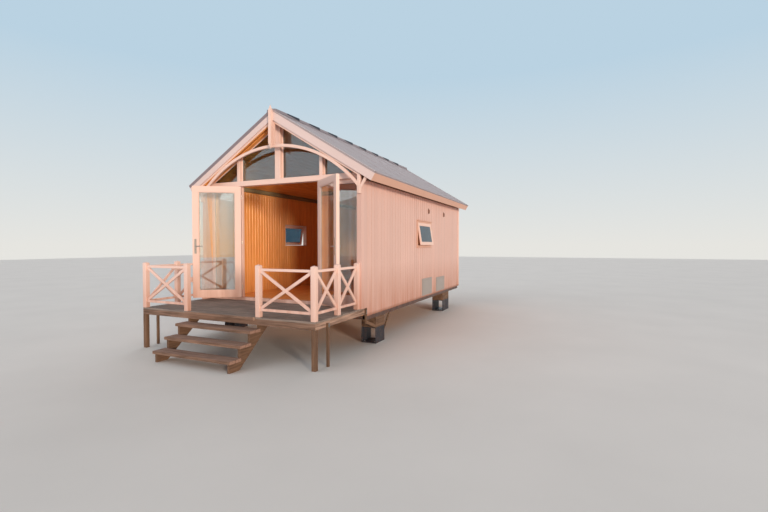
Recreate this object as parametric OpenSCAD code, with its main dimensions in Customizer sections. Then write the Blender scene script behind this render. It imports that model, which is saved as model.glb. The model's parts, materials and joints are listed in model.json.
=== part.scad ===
// Beach hut: one timber room with a glazed gable front, a raised deck with an X-braced balustrade, and steps.
// The hut's width is the sum of its two door leaves, door posts, sidelights and side walls.

/* [Body] */
// Length of the side walls, from their front edge to the back face
body_l = 6600; // [5200:100:8000]
// Thickness of the walls
wall_t = 90; // [70:5:110]
// Distance of the glazed front behind the front edge of the side walls
recess = 160; // [140:10:220]
// Length of the front strip of each side wall that stands on the deck
strip_l = 220; // [200:10:300]
// Height of the deck and floor above the ground
deck_h = 720; // [640:10:800]
// Thickness of the floor, and how far the walls hang below its top
floor_t = 150; // [120:5:180]
// Thickness of the wall plates inside the side walls' tops
plate_t = 45; // [35:1:60]
// Depth of the wall plates
plate_w = 95; // [70:5:120]
// Gap left between sloping, round or turning faces that rest on each other
seat = 0.3; // [0.2:0.1:0.5]

/* [Roof] */
// Height of the side walls' inner top edges above the transom
head_gap = 46; // [36:2:70]
// Pitch of the roof
roof_pitch = 31.5; // [30:0.5:33]
// Overhang of the roof at the side walls
eaves_over = 300; // [220:10:380]
// Overhang of the roof at the front
front_over = 80; // [70:5:120]
// Overhang of the roof at the back
back_over = 60; // [40:5:120]
// Thickness of the roof deck
roof_t = 100; // [80:5:120]
// Thickness of the roof sheets
sheet_t = 24; // [15:1:30]
// Width of the bargeboards and fascias
board_w = 140; // [125:5:170]
// Thickness of the bargeboards and fascias
board_t = 28; // [20:1:35]
// Width of the ridge cap on each slope
cap_w = 150; // [110:10:200]
// Thickness of the ridge cap
cap_t = 12; // [8:1:20]

/* [Gable trim] */
// Side of the finial
finial_w = 60; // [50:5:80]
// Height of the finial's tip above the ridge
finial_up = 75; // [50:5:150]
// Length of the finial
finial_l = 835; // [700:5:950]
// Length of the finial's points
finial_tip = 110; // [60:5:130]
// Depth of the truss's rafters under the roof deck
rafter_w = 78; // [60:2:90]
// Width of the truss's king strut
strut_w = 75; // [60:5:90]
// Depth of the arch brace
arch_w = 55; // [40:5:70]
// Thickness of the arch brace and the truss
arch_t = 42; // [30:2:50]
// Distance of the arch brace's feet below the transom
arch_drop = 120; // [90:5:180]
// Side of the pendant posts
pendant_w = 60; // [50:5:80]
// Distance of the pendant posts' lower ends below the arch brace's feet
pendant_drop = 170; // [140:10:220]
// Width of the small braces outside the pendant posts
stay_w = 40; // [30:5:50]
// Height of the small braces' feet on the wall
stay_foot_h = 64; // [50:2:80]
// Reach of the small braces from the wall
stay_out = 145; // [120:5:160]

/* [Glazed front] */
// Height of the transom's underside above the floor
transom_h = 2290; // [2200:10:2320]
// Depth of the transom
transom_w = 100; // [80:5:110]
// Thickness of the door posts, from their front faces inwards
front_t = 58; // [56:2:90]
// Distance that the transom and the gable frame stand out in front of the door posts
gable_out = 70; // [50:5:85]
// Width of the door posts and gable mullions
post_w = 65; // [60:5:80]
// Width of the king post
king_w = 125; // [100:5:150]
// Width of the gable frame's sloping rails
rake_w = 50; // [40:5:60]
// Height of the sill
sill_h = 60; // [45:5:80]
// Distance that the sill stands out from the posts
sill_out = 40; // [30:5:60]
// Width of each sidelight between its door post and the side wall
sidelight_w = 755; // [700:5:800]
// Width of the sidelight frames
side_frame_w = 60; // [50:5:80]
// Height of the sidelights' bottom rails
side_rail_h = 130; // [100:10:180]
// Thickness of the sidelight frames
side_frame_t = 50; // [40:2:50]
// Distance of the middle of the fixed panes behind the posts' front faces
glass_back = 25; // [25:1:30]
// Thickness of the glass
glass_t = 20; // [14:1:24]

/* [Doors] */
// Width of a door leaf
leaf_w = 932; // [860:2:980]
// Thickness of the door leaves
leaf_t = 58; // [50:2:62]
// Width of the stiles and top rail
stile_w = 115; // [100:5:130]
// Height of the bottom rail
kick_h = 140; // [120:10:200]
// Gap between a leaf and its post
edge_gap = 5; // [5:0.5:8]
// Gap between the two closed leaves
meet_gap = 6; // [6:0.5:10]
// Gap above and below the leaves
leaf_gap = 6; // [5:0.5:10]
// Distance of the left leaf from the side rails of the deck, as it stands open
left_stand = 32; // [20:1:300]
// Distance of the right leaf from the side rails of the deck, as it stands open
right_stand = 89; // [20:1:300]
// Distance of the outer hinges from a leaf's ends
hinge_in = 200; // [150:10:300]
// Radius of the hinge knuckles
knuckle_r = 9; // [8:0.5:10]
// Length of each half of a hinge
knuckle_l = 40; // [30:2:60]
// Distance of the knuckles from the posts' front faces
knuckle_out = 3; // [2:0.5:4]
// Width of the hinge straps
strap_w = 30; // [24:1:34]
// Thickness of the hinge straps
strap_t = 4; // [2:0.5:5]
// Radius of the hinge pins
pin_r = 4; // [3.5:0.5:5]
// Gap round the hinge pins
pin_gap = 0.1; // [0.05:0.05:0.2]
// Height of the handles above the floor
handle_h = 1090; // [950:10:1150]
// Width of the handle plates
grip_plate_w = 40; // [30:2:50]
// Length of the handle plates
grip_plate_l = 290; // [200:10:320]
// Thickness of the handle plates
grip_plate_t = 6; // [4:1:8]
// Length of the levers
lever_l = 110; // [90:5:130]
// Radius of the levers
lever_r = 9; // [7:0.5:11]
// Distance of the levers from the leaves
lever_out = 42; // [35:1:50]

/* [Side windows] */
// Distance of the right window's middle behind the glazed front
right_window_y = 3150; // [2600:50:3500]
// Distance of the left window's middle behind the glazed front
left_window_y = 2955; // [2500:5:3500]
// Width of a window's hole in the wall
window_w = 960; // [700:20:1000]
// Height of a window's hole in the wall
window_hh = 560; // [440:20:600]
// Distance of the hole's upper edge below the transom's underside
window_drop = 635; // [600:5:700]
// Thickness of a window's lining
lining_t = 12; // [10:1:20]
// Width of the casing boards round a window
casing_w = 35; // [30:5:60]
// Thickness of the casing boards
casing_t = 16; // [12:1:24]
// Thickness of the drip board over a window and of the sill board under it
drip_t = 20; // [14:1:26]
// Distance that the drip and sill boards stand out from the wall
drip_out = 45; // [35:5:60]
// Width of the sash frame
sash_w = 60; // [50:5:90]
// Thickness of the sash
sash_t = 32; // [30:2:44]
// Gap round a closed sash
sash_gap = 4; // [3:0.5:6]
// Angle at which the sashes stand open
sash_open = 9; // [5:1:25]

/* [Wall fittings] */
// Width of each service hatch
hatch_w = 740; // [600:20:900]
// Height of the front service hatch
front_hatch_h = 410; // [350:10:600]
// Height of the rear service hatch
rear_hatch_h = 370; // [300:10:600]
// Thickness of each service hatch
hatch_t = 14; // [10:1:20]
// Width of the frame round a hatch's door
hatch_rim_w = 35; // [25:5:50]
// Width of the gap between a hatch's frame and its door
hatch_slit = 6; // [4:1:10]
// Depth of that gap
hatch_slit_d = 6; // [4:1:8]
// Radius of the hatches' latches
latch_r = 17; // [14:1:20]
// Distance that the latches stand out from their hatch
latch_out = 5; // [3:1:8]
// Width of the grips across the latches
latch_grip_w = 8; // [6:1:10]
// Distance of the latches' middles from the door's edges
latch_in = 45; // [35:5:60]
// Height of the hatches' lower edges above the walls' foot
hatch_up = 40; // [10:5:60]
// Distance of the front hatch's middle behind the glazed front
hatch_y = 3370; // [3200:10:3600]
// Distance between the hatches' middles
hatch_gap = 1120; // [1000:10:1300]
// Width of each vent
vent_w = 60; // [40:5:100]
// Height of each vent
vent_l = 130; // [100:10:180]
// Distance that the vents stand out from the wall
vent_out = 30; // [20:5:50]
// Width of the flange round each vent's hood
vent_rim = 8; // [4:1:12]
// Thickness of the vents' flanges and hoods
vent_t = 3; // [2:0.5:4]
// Distance of the first vent behind the glazed front
vent_y = 3480; // [3300:10:3700]
// Distance between the vents
vent_gap = 1320; // [1000:10:1500]
// Distance of the vents' middles below the transom's underside
vent_drop = 330; // [250:10:450]

/* [Deck] */
// Distance of the deck's side edges inside the side walls' outer faces
deck_in = 30; // [20:5:35]
// Distance of the deck's front edge from the glazed front
deck_d = 1550; // [1450:10:1800]
// Depth of the deck, boards and frame together
deck_t = 120; // [110:5:140]
// Thickness of the deck boards
plank_t = 28; // [22:1:34]
// Thickness of the deck's joists
joist_t = 45; // [38:1:60]
// Number of bays between the joists
deck_bays = 6; // [4:1:8]
// Side of the deck's corner legs
leg_w = 70; // [60:5:90]
// Side of the legs beside the deck
side_leg_w = 40; // [30:5:60]
// Distance of the side legs from the deck's front edge
side_leg_y = 290; // [200:10:500]
// Distance of the side legs' upper ends below the deck's top
side_leg_drop = 60; // [40:5:80]
// Width of the hangers at the deck's rear corners
hanger_w = 45; // [35:5:60]
// Length of the hangers below the deck's top
hanger_l = 290; // [285:5:330]

/* [Balustrade] */
// Height of the balustrade posts above the deck
rail_post_h = 815; // [780:5:1000]
// Side of the balustrade posts
rail_post_w = 80; // [70:5:90]
// Height of the points on the posts
rail_post_tip = 20; // [10:5:30]
// Height of the top rail's upper face above the deck
top_rail_h = 752; // [700:2:756]
// Height of the bottom rail's lower face above the deck
low_rail_h = 95; // [60:5:120]
// Depth and thickness of the rails
rail_w = 40; // [30:2:50]
// Width of the diagonal bars
cross_w = 46; // [40:2:60]
// Thickness of the diagonal bars
cross_t = 28; // [20:1:36]
// Clear width between the posts beside the steps
gate_w = 1448; // [1380:2:1500]

/* [Steps] */
// Width of the treads
tread_w = 1580; // [1400:20:1700]
// Thickness of a tread
tread_t = 45; // [36:1:50]
// Number of treads
treads = 3; // [2:1:3]
// Distance of the first tread's front edge from the deck's front edge
first_going = 190; // [180:5:210]
// Run from one tread's front edge to the next
going = 210; // [190:5:220]
// Distance that the treads stand out in front of the stringers' teeth
nose_out = 25; // [15:5:35]
// Depth of the nosing board in front of the deck
nosing_d = 50; // [40:5:80]
// Thickness of the stringers
stringer_t = 40; // [30:2:50]
// Distance of the stringers inside the treads' ends
stringer_in = 30; // [0:5:60]
// Depth of the stringers behind their teeth, measured level
throat = 150; // [120:5:180]

/* [Underframe] */
// Width of the steel runners
runner_w = 100; // [80:5:120]
// Depth of the steel runners
runner_h = 70; // [60:5:75]
// Thickness of the runners' webs and flanges
channel_t = 8; // [6:1:12]
// Number of cross beams
cross_beam_count = 5; // [3:1:7]
// Width of the timber blocks and steel stands across the hut
foot_w = 300; // [240:10:360]
// Length of the front blocks and stands along the hut
front_foot_l = 390; // [300:10:450]
// Length of the rear blocks and stands along the hut
rear_foot_l = 600; // [450:10:700]
// Depth of the timber blocks
block_h = 200; // [150:10:220]
// Distance of the front stands' middle behind the glazed front
front_foot_y = 610; // [500:10:900]
// Distance of the rear stands' middle in front of the back face
rear_foot_y = 1395; // [900:5:1800]
// Thickness of the stands' base plates
base_t = 20; // [12:1:30]
// Thickness of the stands' sides
stand_t = 12; // [8:1:16]
// Depth of the braces between the deck's hangers and the front blocks
brace_w = 60; // [50:5:65]
// Width of the struts behind the front stands
foot_strut_w = 30; // [20:2:40]
// Reach of the struts behind the front stands
foot_strut_l = 270; // [200:10:350]
// Distance of the struts' lower ends below the runners
foot_strut_h = 315; // [260:5:340]

/* [Hidden] */

// Places across the hut
clear_x = leaf_w + edge_gap + meet_gap / 2;
post_outer_x = clear_x + post_w;
inner_x = post_outer_x + sidelight_w;
half_w = inner_x + wall_t;
deck_x = half_w - deck_in;
pendant_x = half_w - pendant_w;
rail_post_x = deck_x - rail_post_w / 2;
gate_x = gate_w / 2 + rail_post_w / 2;
stringer_x = tread_w / 2 - stringer_in;

// Places along the hut, behind the glazed front's face
wall_front = -recess;
wall_back = wall_front + body_l;
deck_back = wall_front + strip_l;
roof_front = wall_front - front_over;
roof_back = wall_back + back_over;
truss_front = roof_front + board_t;
rail_post_y = -deck_d + rail_post_w / 2;
wall_post_y = wall_front - rail_post_w / 2;
mid_post_y = (rail_post_y + wall_post_y) / 2;
runner_back = wall_back - runner_w;
first_nose_y = -deck_d - first_going;
last_nose_y = first_nose_y - (treads - 1) * going;
supports = [[front_foot_y, front_foot_l], [wall_back - rear_foot_y, rear_foot_l]];

// Heights above the ground
floor_z = deck_h;
wall_foot_z = floor_z - floor_t;
deck_foot_z = floor_z - deck_t;
hanger_z = floor_z - hanger_l;
sill_z = floor_z + sill_h;
transom_z = floor_z + transom_h;
gable_z = transom_z + transom_w;
riser = deck_h / (treads + 1);
runner_z = wall_foot_z - runner_h;
block_z = runner_z - block_h;
arch_foot_z = transom_z - arch_drop;
pendant_z = arch_foot_z - pendant_drop;

// The roof's section: u runs down the slope from the ridge, v runs in from the top of the sheets
under_v = sheet_t + roof_t;
board_v = sheet_t + board_w;
rafter_v = under_v + rafter_w;
ridge_z = gable_z + head_gap + inner_x * tan(roof_pitch) + under_v / cos(roof_pitch);
eaves_u = (half_w + eaves_over) / cos(roof_pitch);
function slope(u, v) = [
    u * cos(roof_pitch) - v * sin(roof_pitch),
    ridge_z - u * sin(roof_pitch) - v * cos(roof_pitch)
];
function top_u(v) = v * tan(roof_pitch);
function roof_z(x, v) = ridge_z - abs(x) * tan(roof_pitch) - v / cos(roof_pitch);
function under_z(x) = roof_z(x, under_v + seat);

// The arch's middle line springs from the pendant posts and runs close under the rafters. Its centre lies
// arch_depth below the point where the rafters' undersides meet, and arch_rise is that point's height
// above the arch's feet.
arch_off = seat + arch_w / 2;
arch_rise = roof_z(0, rafter_v) - arch_foot_z;
arch_lead = arch_rise - arch_off * cos(roof_pitch);
arch_chord = pendant_x ^ 2 + arch_rise ^ 2 - arch_off ^ 2;
arch_depth = (arch_lead - sqrt(arch_lead ^ 2 - arch_chord * sin(roof_pitch) ^ 2)) / sin(roof_pitch) ^ 2;
arch_r = arch_depth * cos(roof_pitch) - arch_off;
arch_z = roof_z(0, rafter_v) - arch_depth;

// Stringers, and treads that run back from their nosings to the next tooth
tread_d = going + nose_out;
slope_run = going / riser;
function tooth_y(i) = first_nose_y - i * going + nose_out;
function tooth_z(i) = floor_z - (i + 1) * riser - tread_t;
function stringer_back(z) = tooth_y(0) + throat + (z - tooth_z(1)) * slope_run;

// Door leaves
pivot_y = -knuckle_r - knuckle_out;
leaf_z = sill_z + leaf_gap;
leaf_h = transom_z - leaf_gap - leaf_z;
hinge_zs = [leaf_z + hinge_in, leaf_z + leaf_h / 2, leaf_z + leaf_h - hinge_in];
leaf_reach = norm([edge_gap + leaf_w, pivot_y]);
function open_angle(stand) = atan(-pivot_y / (edge_gap + leaf_w))
    + acos((clear_x - rail_post_x + rail_w / 2 + stand) / leaf_reach);

// Side windows
hole_z = transom_z - window_drop - window_hh;
sash_l = window_w - 2 * (lining_t + sash_gap);
sash_h = window_hh - 2 * lining_t - seat - sash_gap;

// The hut's middle, from the nosing of the lowest tread to the roof's back edge
mid_y = (last_nose_y + roof_back) / 2;
round_fn = 48;
arch_fn = 180;

// Colours
white = [0.93, 0.88, 0.84];
timber = [0.55, 0.42, 0.32];
pine = [0.85, 0.62, 0.38];
weathered = [0.52, 0.49, 0.47];
slate = [0.55, 0.53, 0.58];
panel = [0.72, 0.69, 0.70];
steel = [0.35, 0.36, 0.38];
pane = [0.6, 0.7, 0.75, 0.45];

// Puts the hut with its middle at the origin
module place() {
    translate([0, -mid_y, 0]) children();
}

// Draws one half of the hut, with the left half as the mirror image of the right
module side(s) {
    if (s > 0) children();
    else mirror([1, 0, 0]) children();
}

// Extrudes a cross-section of the hut, drawn in x and z, from y0 to y1
module along(y0, y1) {
    translate([0, y1, 0]) rotate([90, 0, 0]) linear_extrude(y1 - y0) children();
}

// Extrudes a long section of the hut, drawn in y and z, from x0 to x1
module across(x0, x1) {
    translate([x0, 0, 0]) rotate([90, 0, 90]) linear_extrude(x1 - x0) children();
}

// A block given by its low and high corners
module block(low, high) {
    translate(low) cube(high - low);
}

module floor() {
    color(pine) place()
        block([-inner_x, deck_back, wall_foot_z], [inner_x, wall_back - wall_t, floor_z]);
}

// One side wall with its window hole; its front strip stands on the deck
module side_wall(window_y) {
    difference() {
        along(wall_front, wall_back - wall_t) polygon([
            [inner_x, wall_foot_z], [half_w, wall_foot_z], [half_w, under_z(half_w)], [inner_x, under_z(inner_x)]
        ]);
        block([inner_x - 1, wall_front - 1, wall_foot_z - 1], [half_w + 1, deck_back, floor_z]);
        block(
            [inner_x - 1, window_y - window_w / 2, hole_z],
            [half_w + 1, window_y + window_w / 2, hole_z + window_hh]
        );
    }
}

module left_wall() {
    color(white) place() side(-1) side_wall(left_window_y);
}

module right_wall() {
    color(white) place() side_wall(right_window_y);
}

module back_wall() {
    color(white) place() along(wall_back - wall_t, wall_back) polygon([
        [-half_w, wall_foot_z], [half_w, wall_foot_z], [half_w, under_z(half_w)],
        [0, under_z(0)], [-half_w, under_z(half_w)]
    ]);
}

// Plates along the tops of the side walls inside
module wall_plates() {
    top = under_z(inner_x);
    color(timber) place() for (s = [-1, 1]) side(s)
        block([inner_x - plate_t, front_t, top - plate_w], [inner_x, wall_back - wall_t, top]);
}

module front_sill() {
    color(white) place() block([-inner_x, -sill_out, floor_z], [inner_x, front_t, sill_z]);
}

module door_posts() {
    color(white) place() for (s = [-1, 1]) side(s)
        block([clear_x, 0, sill_z], [post_outer_x, front_t, transom_z]);
}

module transom() {
    color(white) place() block([-inner_x, -gable_out, transom_z], [inner_x, front_t, gable_z]);
}

module king_post() {
    half = king_w / 2;
    color(white) place() along(-gable_out, front_t) polygon([
        [-half, gable_z], [half, gable_z], [half, under_z(half)], [0, under_z(0)], [-half, under_z(half)]
    ]);
}

// Half of the gable above the transom, up to the roof deck less a perpendicular distance
module half_gable(from_x, to_x, less) {
    intersection() {
        polygon([
            [from_x, gable_z], [to_x, gable_z],
            [to_x, roof_z(to_x, under_v + less)], [from_x, roof_z(from_x, under_v + less)]
        ]);
        translate([from_x, gable_z]) square([to_x - from_x, ridge_z - gable_z]);
    }
}

// Sloping rails under the roof, with a mullion over each door post
module gable_frame() {
    color(white) place() for (s = [-1, 1]) side(s) along(-gable_out, front_t) {
        difference() {
            half_gable(king_w / 2, inner_x, seat);
            half_gable(king_w / 2, inner_x, rake_w);
        }
        half_gable(clear_x, post_outer_x, rake_w / 2);
    }
}

module gable_glass() {
    color(pane) place() for (s = [-1, 1]) side(s)
        along(glass_back - glass_t / 2, glass_back + glass_t / 2) {
            half_gable(king_w / 2, clear_x, rake_w + seat);
            half_gable(post_outer_x, inner_x, rake_w + seat);
        }
}

// A sidelight's outline less a margin, with its lower edge raised
module sidelight(margin, low, y0, y1) {
    block(
        [post_outer_x + margin, y0, sill_z + low],
        [inner_x - margin, y1, transom_z - margin]
    );
}

module sidelight_frames() {
    y0 = glass_back - side_frame_t / 2;
    y1 = glass_back + side_frame_t / 2;
    color(white) place() for (s = [-1, 1]) side(s) difference() {
        sidelight(0, 0, y0, y1);
        sidelight(side_frame_w, side_rail_h, y0 - 1, y1 + 1);
    }
}

module sidelight_glass() {
    color(pane) place() for (s = [-1, 1]) side(s)
        sidelight(side_frame_w, side_rail_h, glass_back - glass_t / 2, glass_back + glass_t / 2);
}

// A band of one roof slope between two depths, down to a distance from the ridge
module slope_band(v0, v1, to_u) {
    polygon([slope(top_u(v0), v0), slope(to_u, v0), slope(to_u, v1), slope(top_u(v1), v1)]);
}

module roof_deck() {
    along(roof_front + board_t, roof_back - board_t)
        slope_band(sheet_t + seat, under_v, eaves_u - board_t - seat);
}

module left_roof_deck() {
    color(pine) place() side(-1) roof_deck();
}

module right_roof_deck() {
    color(pine) place() roof_deck();
}

module roof_sheet() {
    along(roof_front, roof_back) slope_band(0, sheet_t, eaves_u);
}

module left_roof_sheet() {
    color(slate) place() side(-1) roof_sheet();
}

module right_roof_sheet() {
    color(slate) place() roof_sheet();
}

module ridge_cap() {
    color(slate) place() along(roof_front, roof_back) for (s = [-1, 1]) side(s) polygon([
        [0, roof_z(0, -seat)], slope(cap_w, -seat), slope(cap_w, -cap_t), [0, roof_z(0, -cap_t)]
    ]);
}

// Boards under both ends of one roof sheet
module bargeboards() {
    for (y = [roof_front, roof_back - board_t])
        along(y, y + board_t) slope_band(sheet_t + seat, board_v, eaves_u);
}

module left_bargeboards() {
    color(white) place() side(-1) bargeboards();
}

module right_bargeboards() {
    color(white) place() bargeboards();
}

module eaves_fascias() {
    color(white) place() for (s = [-1, 1]) side(s)
        along(roof_front + board_t, roof_back - board_t) polygon([
            slope(eaves_u - board_t, sheet_t + seat), slope(eaves_u, sheet_t + seat),
            slope(eaves_u, board_v), slope(eaves_u - board_t, board_v)
        ]);
}

// Outline of the finial, pointed at both ends
module finial_outline() {
    half = finial_w / 2;
    top = ridge_z + finial_up;
    foot = top - finial_l;
    polygon([
        [0, top], [half, top - finial_tip], [half, foot + finial_tip],
        [0, foot], [-half, foot + finial_tip], [-half, top - finial_tip]
    ]);
}

module finial() {
    color(white) place() intersection() {
        along(roof_front - finial_w, roof_front) finial_outline();
        across(-finial_w, finial_w) translate([roof_front - finial_w / 2, 0]) finial_outline();
    }
}

// Rafters between the pendant posts, with a king strut down to the arch's crown
module gable_truss() {
    half = strut_w / 2;
    crown_z = arch_z + arch_r + arch_off;
    color(white) place() along(truss_front, truss_front + arch_t) polygon([
        [-pendant_x, roof_z(pendant_x, rafter_v)], [-pendant_x, under_z(pendant_x)], [0, under_z(0)],
        [pendant_x, under_z(pendant_x)], [pendant_x, roof_z(pendant_x, rafter_v)],
        [half, roof_z(half, rafter_v)], [half, crown_z], [-half, crown_z], [-half, roof_z(half, rafter_v)]
    ]);
}

// A round arch between the pendant posts
module arch_brace() {
    color(white) place() along(truss_front, truss_front + arch_t) intersection() {
        translate([0, arch_z]) difference() {
            circle(r = arch_r + arch_w / 2, $fn = arch_fn);
            circle(r = arch_r - arch_w / 2, $fn = arch_fn);
        }
        translate([-pendant_x, pendant_z]) square([2 * pendant_x, ridge_z - pendant_z]);
    }
}

// A short post on the front edge of each side wall, with a small brace out to the eaves
module pendant_posts() {
    stay_z = arch_foot_z - pendant_w;
    stay_x = half_w + stay_out;
    color(white) place() for (s = [-1, 1]) side(s) {
        along(truss_front, wall_front) polygon([
            [pendant_x, pendant_z], [half_w, pendant_z],
            [half_w, under_z(half_w)], [pendant_x, under_z(pendant_x)]
        ]);
        along(truss_front, truss_front + stay_w) polygon([
            [half_w, stay_z - stay_foot_h / 2], [stay_x, under_z(stay_x)],
            [stay_x - stay_w, under_z(stay_x - stay_w)], [half_w, stay_z + stay_foot_h / 2]
        ]);
    }
}

// A ring of boards round a window's hole, drawn in y and z from the window's middle
module window_ring(outer, inner) {
    difference() {
        translate([-window_w / 2 - outer, hole_z - outer])
            square([window_w + 2 * outer, window_hh + 2 * outer]);
        translate([-window_w / 2 + inner, hole_z + inner])
            square([window_w - 2 * inner, window_hh - 2 * inner]);
    }
}

// Repeats a right window's piece at both windows
module at_windows() {
    place() {
        translate([0, right_window_y, 0]) children();
        side(-1) translate([0, left_window_y, 0]) children();
    }
}

// Lining, casing, drip board and sill board
module window_casings() {
    color(white) at_windows() {
        across(inner_x, half_w) window_ring(0, lining_t);
        across(half_w, half_w + casing_t) window_ring(casing_w, lining_t);
        across(half_w, half_w + drip_out) for (z = [hole_z - casing_w, hole_z + window_hh + casing_w])
            translate([-window_w / 2 - casing_w, z - drip_t / 2]) square([window_w + 2 * casing_w, drip_t]);
    }
}

// Turns a closed sash, drawn in the wall, out about its top edge
module open_sash() {
    top_z = hole_z + window_hh - lining_t - seat;
    at_windows() translate([half_w + casing_t, 0, top_z]) rotate([0, -sash_open, 0]) children();
}

module window_sashes() {
    color(white) open_sash() difference() {
        block([-sash_t, -sash_l / 2, -sash_h], [0, sash_l / 2, 0]);
        block([-sash_t - 1, -sash_l / 2 + sash_w, sash_w - sash_h], [1, sash_l / 2 - sash_w, -sash_w]);
    }
}

module window_glass() {
    pane_x = (sash_t - glass_t) / 2;
    color(pane) open_sash()
        block([pane_x - sash_t, -sash_l / 2 + sash_w, sash_w - sash_h], [-pane_x, sash_l / 2 - sash_w, -sash_w]);
}

// A hatch's outline less a margin, drawn in y and z from its front lower corner
module hatch_outline(h, margin) {
    translate([margin, margin]) square([hatch_w - 2 * margin, h - 2 * margin]);
}

// A round latch with a grip across it
module latch() {
    translate([hatch_t, 0, 0]) {
        rotate([0, 90, 0]) cylinder(r = latch_r, h = latch_out / 2, $fn = round_fn);
        block([0, -latch_grip_w / 2, latch_out - latch_r], [latch_out, latch_grip_w / 2, latch_r - latch_out]);
    }
}

// A hatch on the right wall, given by its middle's place and its height: a door in a frame, with two latches
module hatch(y, h) {
    latch_at = hatch_rim_w + hatch_slit + latch_in;
    translate([half_w, y - hatch_w / 2, wall_foot_z + hatch_up]) {
        difference() {
            across(0, hatch_t) hatch_outline(h, 0);
            across(hatch_t - hatch_slit_d, hatch_t + 1) difference() {
                hatch_outline(h, hatch_rim_w);
                hatch_outline(h, hatch_rim_w + hatch_slit);
            }
        }
        for (latch_y = [latch_at, hatch_w - latch_at]) translate([0, latch_y, h - latch_at]) latch();
    }
}

module service_hatches() {
    color(panel) place() {
        hatch(hatch_y, front_hatch_h);
        hatch(hatch_y + hatch_gap, rear_hatch_h);
    }
}

// Outline of a vent's hood less its thickness, drawn in x and z from the wall: it slopes out from the top
module hood_outline(less) {
    top = vent_l / 2 - vent_rim - less * sqrt(2);
    foot = vent_rim - vent_l / 2 - (less > 0 ? 1 : 0);
    polygon([[less, foot], [vent_out - less, foot], [vent_out - less, top - vent_out + less], [less, top - less]]);
}

// A flange with a hood that is open below
module vent() {
    half = vent_w / 2;
    block([0, -half, -vent_l / 2], [vent_t, half, vent_l / 2]);
    difference() {
        along(vent_rim - half, half - vent_rim) hood_outline(0);
        along(vent_rim + vent_t - half, half - vent_rim - vent_t) hood_outline(vent_t);
    }
}

module wall_vents() {
    color(steel) place() for (i = [0, 1])
        translate([half_w, vent_y + i * vent_gap, transom_z - vent_drop]) vent();
}

module deck_boards() {
    color(weathered) place() block([-deck_x, -deck_d, floor_z - plank_t], [deck_x, deck_back, floor_z]);
}

// Rim and joists, with the bays between them open below the boards; the front rim is two joists thick, and
// the stringers end under it
module deck_frame() {
    bay_w = (2 * deck_x - joist_t) / deck_bays;
    top = floor_z - plank_t;
    color(weathered) place() difference() {
        block([-deck_x, -deck_d, deck_foot_z], [deck_x, deck_back, top]);
        for (i = [0 : deck_bays - 1]) translate([-deck_x + joist_t + i * bay_w, 0, 0])
            block(
                [0, -deck_d + 2 * joist_t, deck_foot_z - 1],
                [bay_w - joist_t, deck_back - joist_t, top + 1]
            );
    }
}

// Corner legs, thin legs beside the deck, and the hangers that hold its rear corners to the hut
module deck_legs() {
    side_y = -deck_d + side_leg_y;
    color(timber) place() for (s = [-1, 1]) side(s) {
        block([deck_x - leg_w, -deck_d, 0], [deck_x, -deck_d + leg_w, deck_foot_z]);
        block([deck_x, side_y, 0], [deck_x + side_leg_w, side_y + side_leg_w, floor_z - side_leg_drop]);
        block([deck_x, deck_back - hanger_w, hanger_z], [half_w, deck_back, floor_z]);
    }
}

// Outline of a balustrade post with a low point on top
module rail_post_outline() {
    half = rail_post_w / 2;
    top = floor_z + rail_post_h;
    polygon([
        [-half, floor_z], [half, floor_z], [half, top - rail_post_tip], [0, top], [-half, top - rail_post_tip]
    ]);
}

module rail_post(x, y) {
    half = rail_post_w / 2;
    translate([x, y, 0]) intersection() {
        along(-half, half) rail_post_outline();
        across(-half, half) rail_post_outline();
    }
}

module balustrade_posts() {
    color(white) place() for (s = [-1, 1]) side(s) {
        rail_post(gate_x, rail_post_y);
        for (y = [rail_post_y, mid_post_y, wall_post_y]) rail_post(rail_post_x, y);
    }
}

// One panel of length l from the origin along x: two rails and a cross of diagonal bars
module rail_panel(l) {
    low = low_rail_h + rail_w;
    high = top_rail_h - rail_w;
    rise = high - low;
    bar = cross_w * sqrt(l * l + rise * rise) / l / 2;
    translate([0, -rail_w / 2, floor_z]) for (z = [low_rail_h, high]) translate([0, 0, z])
        cube([l, rail_w, rail_w]);
    translate([0, cross_t / 2, floor_z]) rotate([90, 0, 0]) linear_extrude(cross_t) intersection() {
        translate([0, low]) square([l, rise]);
        union() {
            polygon([[0, low - bar], [0, low + bar], [l, high + bar], [l, high - bar]]);
            polygon([[0, high - bar], [0, high + bar], [l, low + bar], [l, low - bar]]);
        }
    }
}

module front_rail_panels() {
    from_x = gate_x + rail_post_w / 2;
    color(white) place() for (s = [-1, 1]) side(s)
        translate([from_x, rail_post_y, 0]) rail_panel(rail_post_x - rail_post_w / 2 - from_x);
}

// Two panels along each side of the deck
module side_rail_panels() {
    l = mid_post_y - rail_post_y - rail_post_w;
    color(white) place() for (s = [-1, 1]) side(s) for (y = [rail_post_y, mid_post_y])
        translate([rail_post_x, y + rail_post_w / 2, 0]) rotate([0, 0, 90]) rail_panel(l);
}

// Treads, and a nosing board on the deck's front edge between the posts
module stair_treads() {
    color(timber) place() {
        for (i = [0 : treads - 1]) translate([0, first_nose_y - i * going, tooth_z(i)])
            block([-tread_w / 2, 0, 0], [tread_w / 2, tread_d, tread_t]);
        block([-gate_w / 2, -deck_d - nosing_d, floor_z - tread_t], [gate_w / 2, -deck_d, floor_z]);
    }
}

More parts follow.
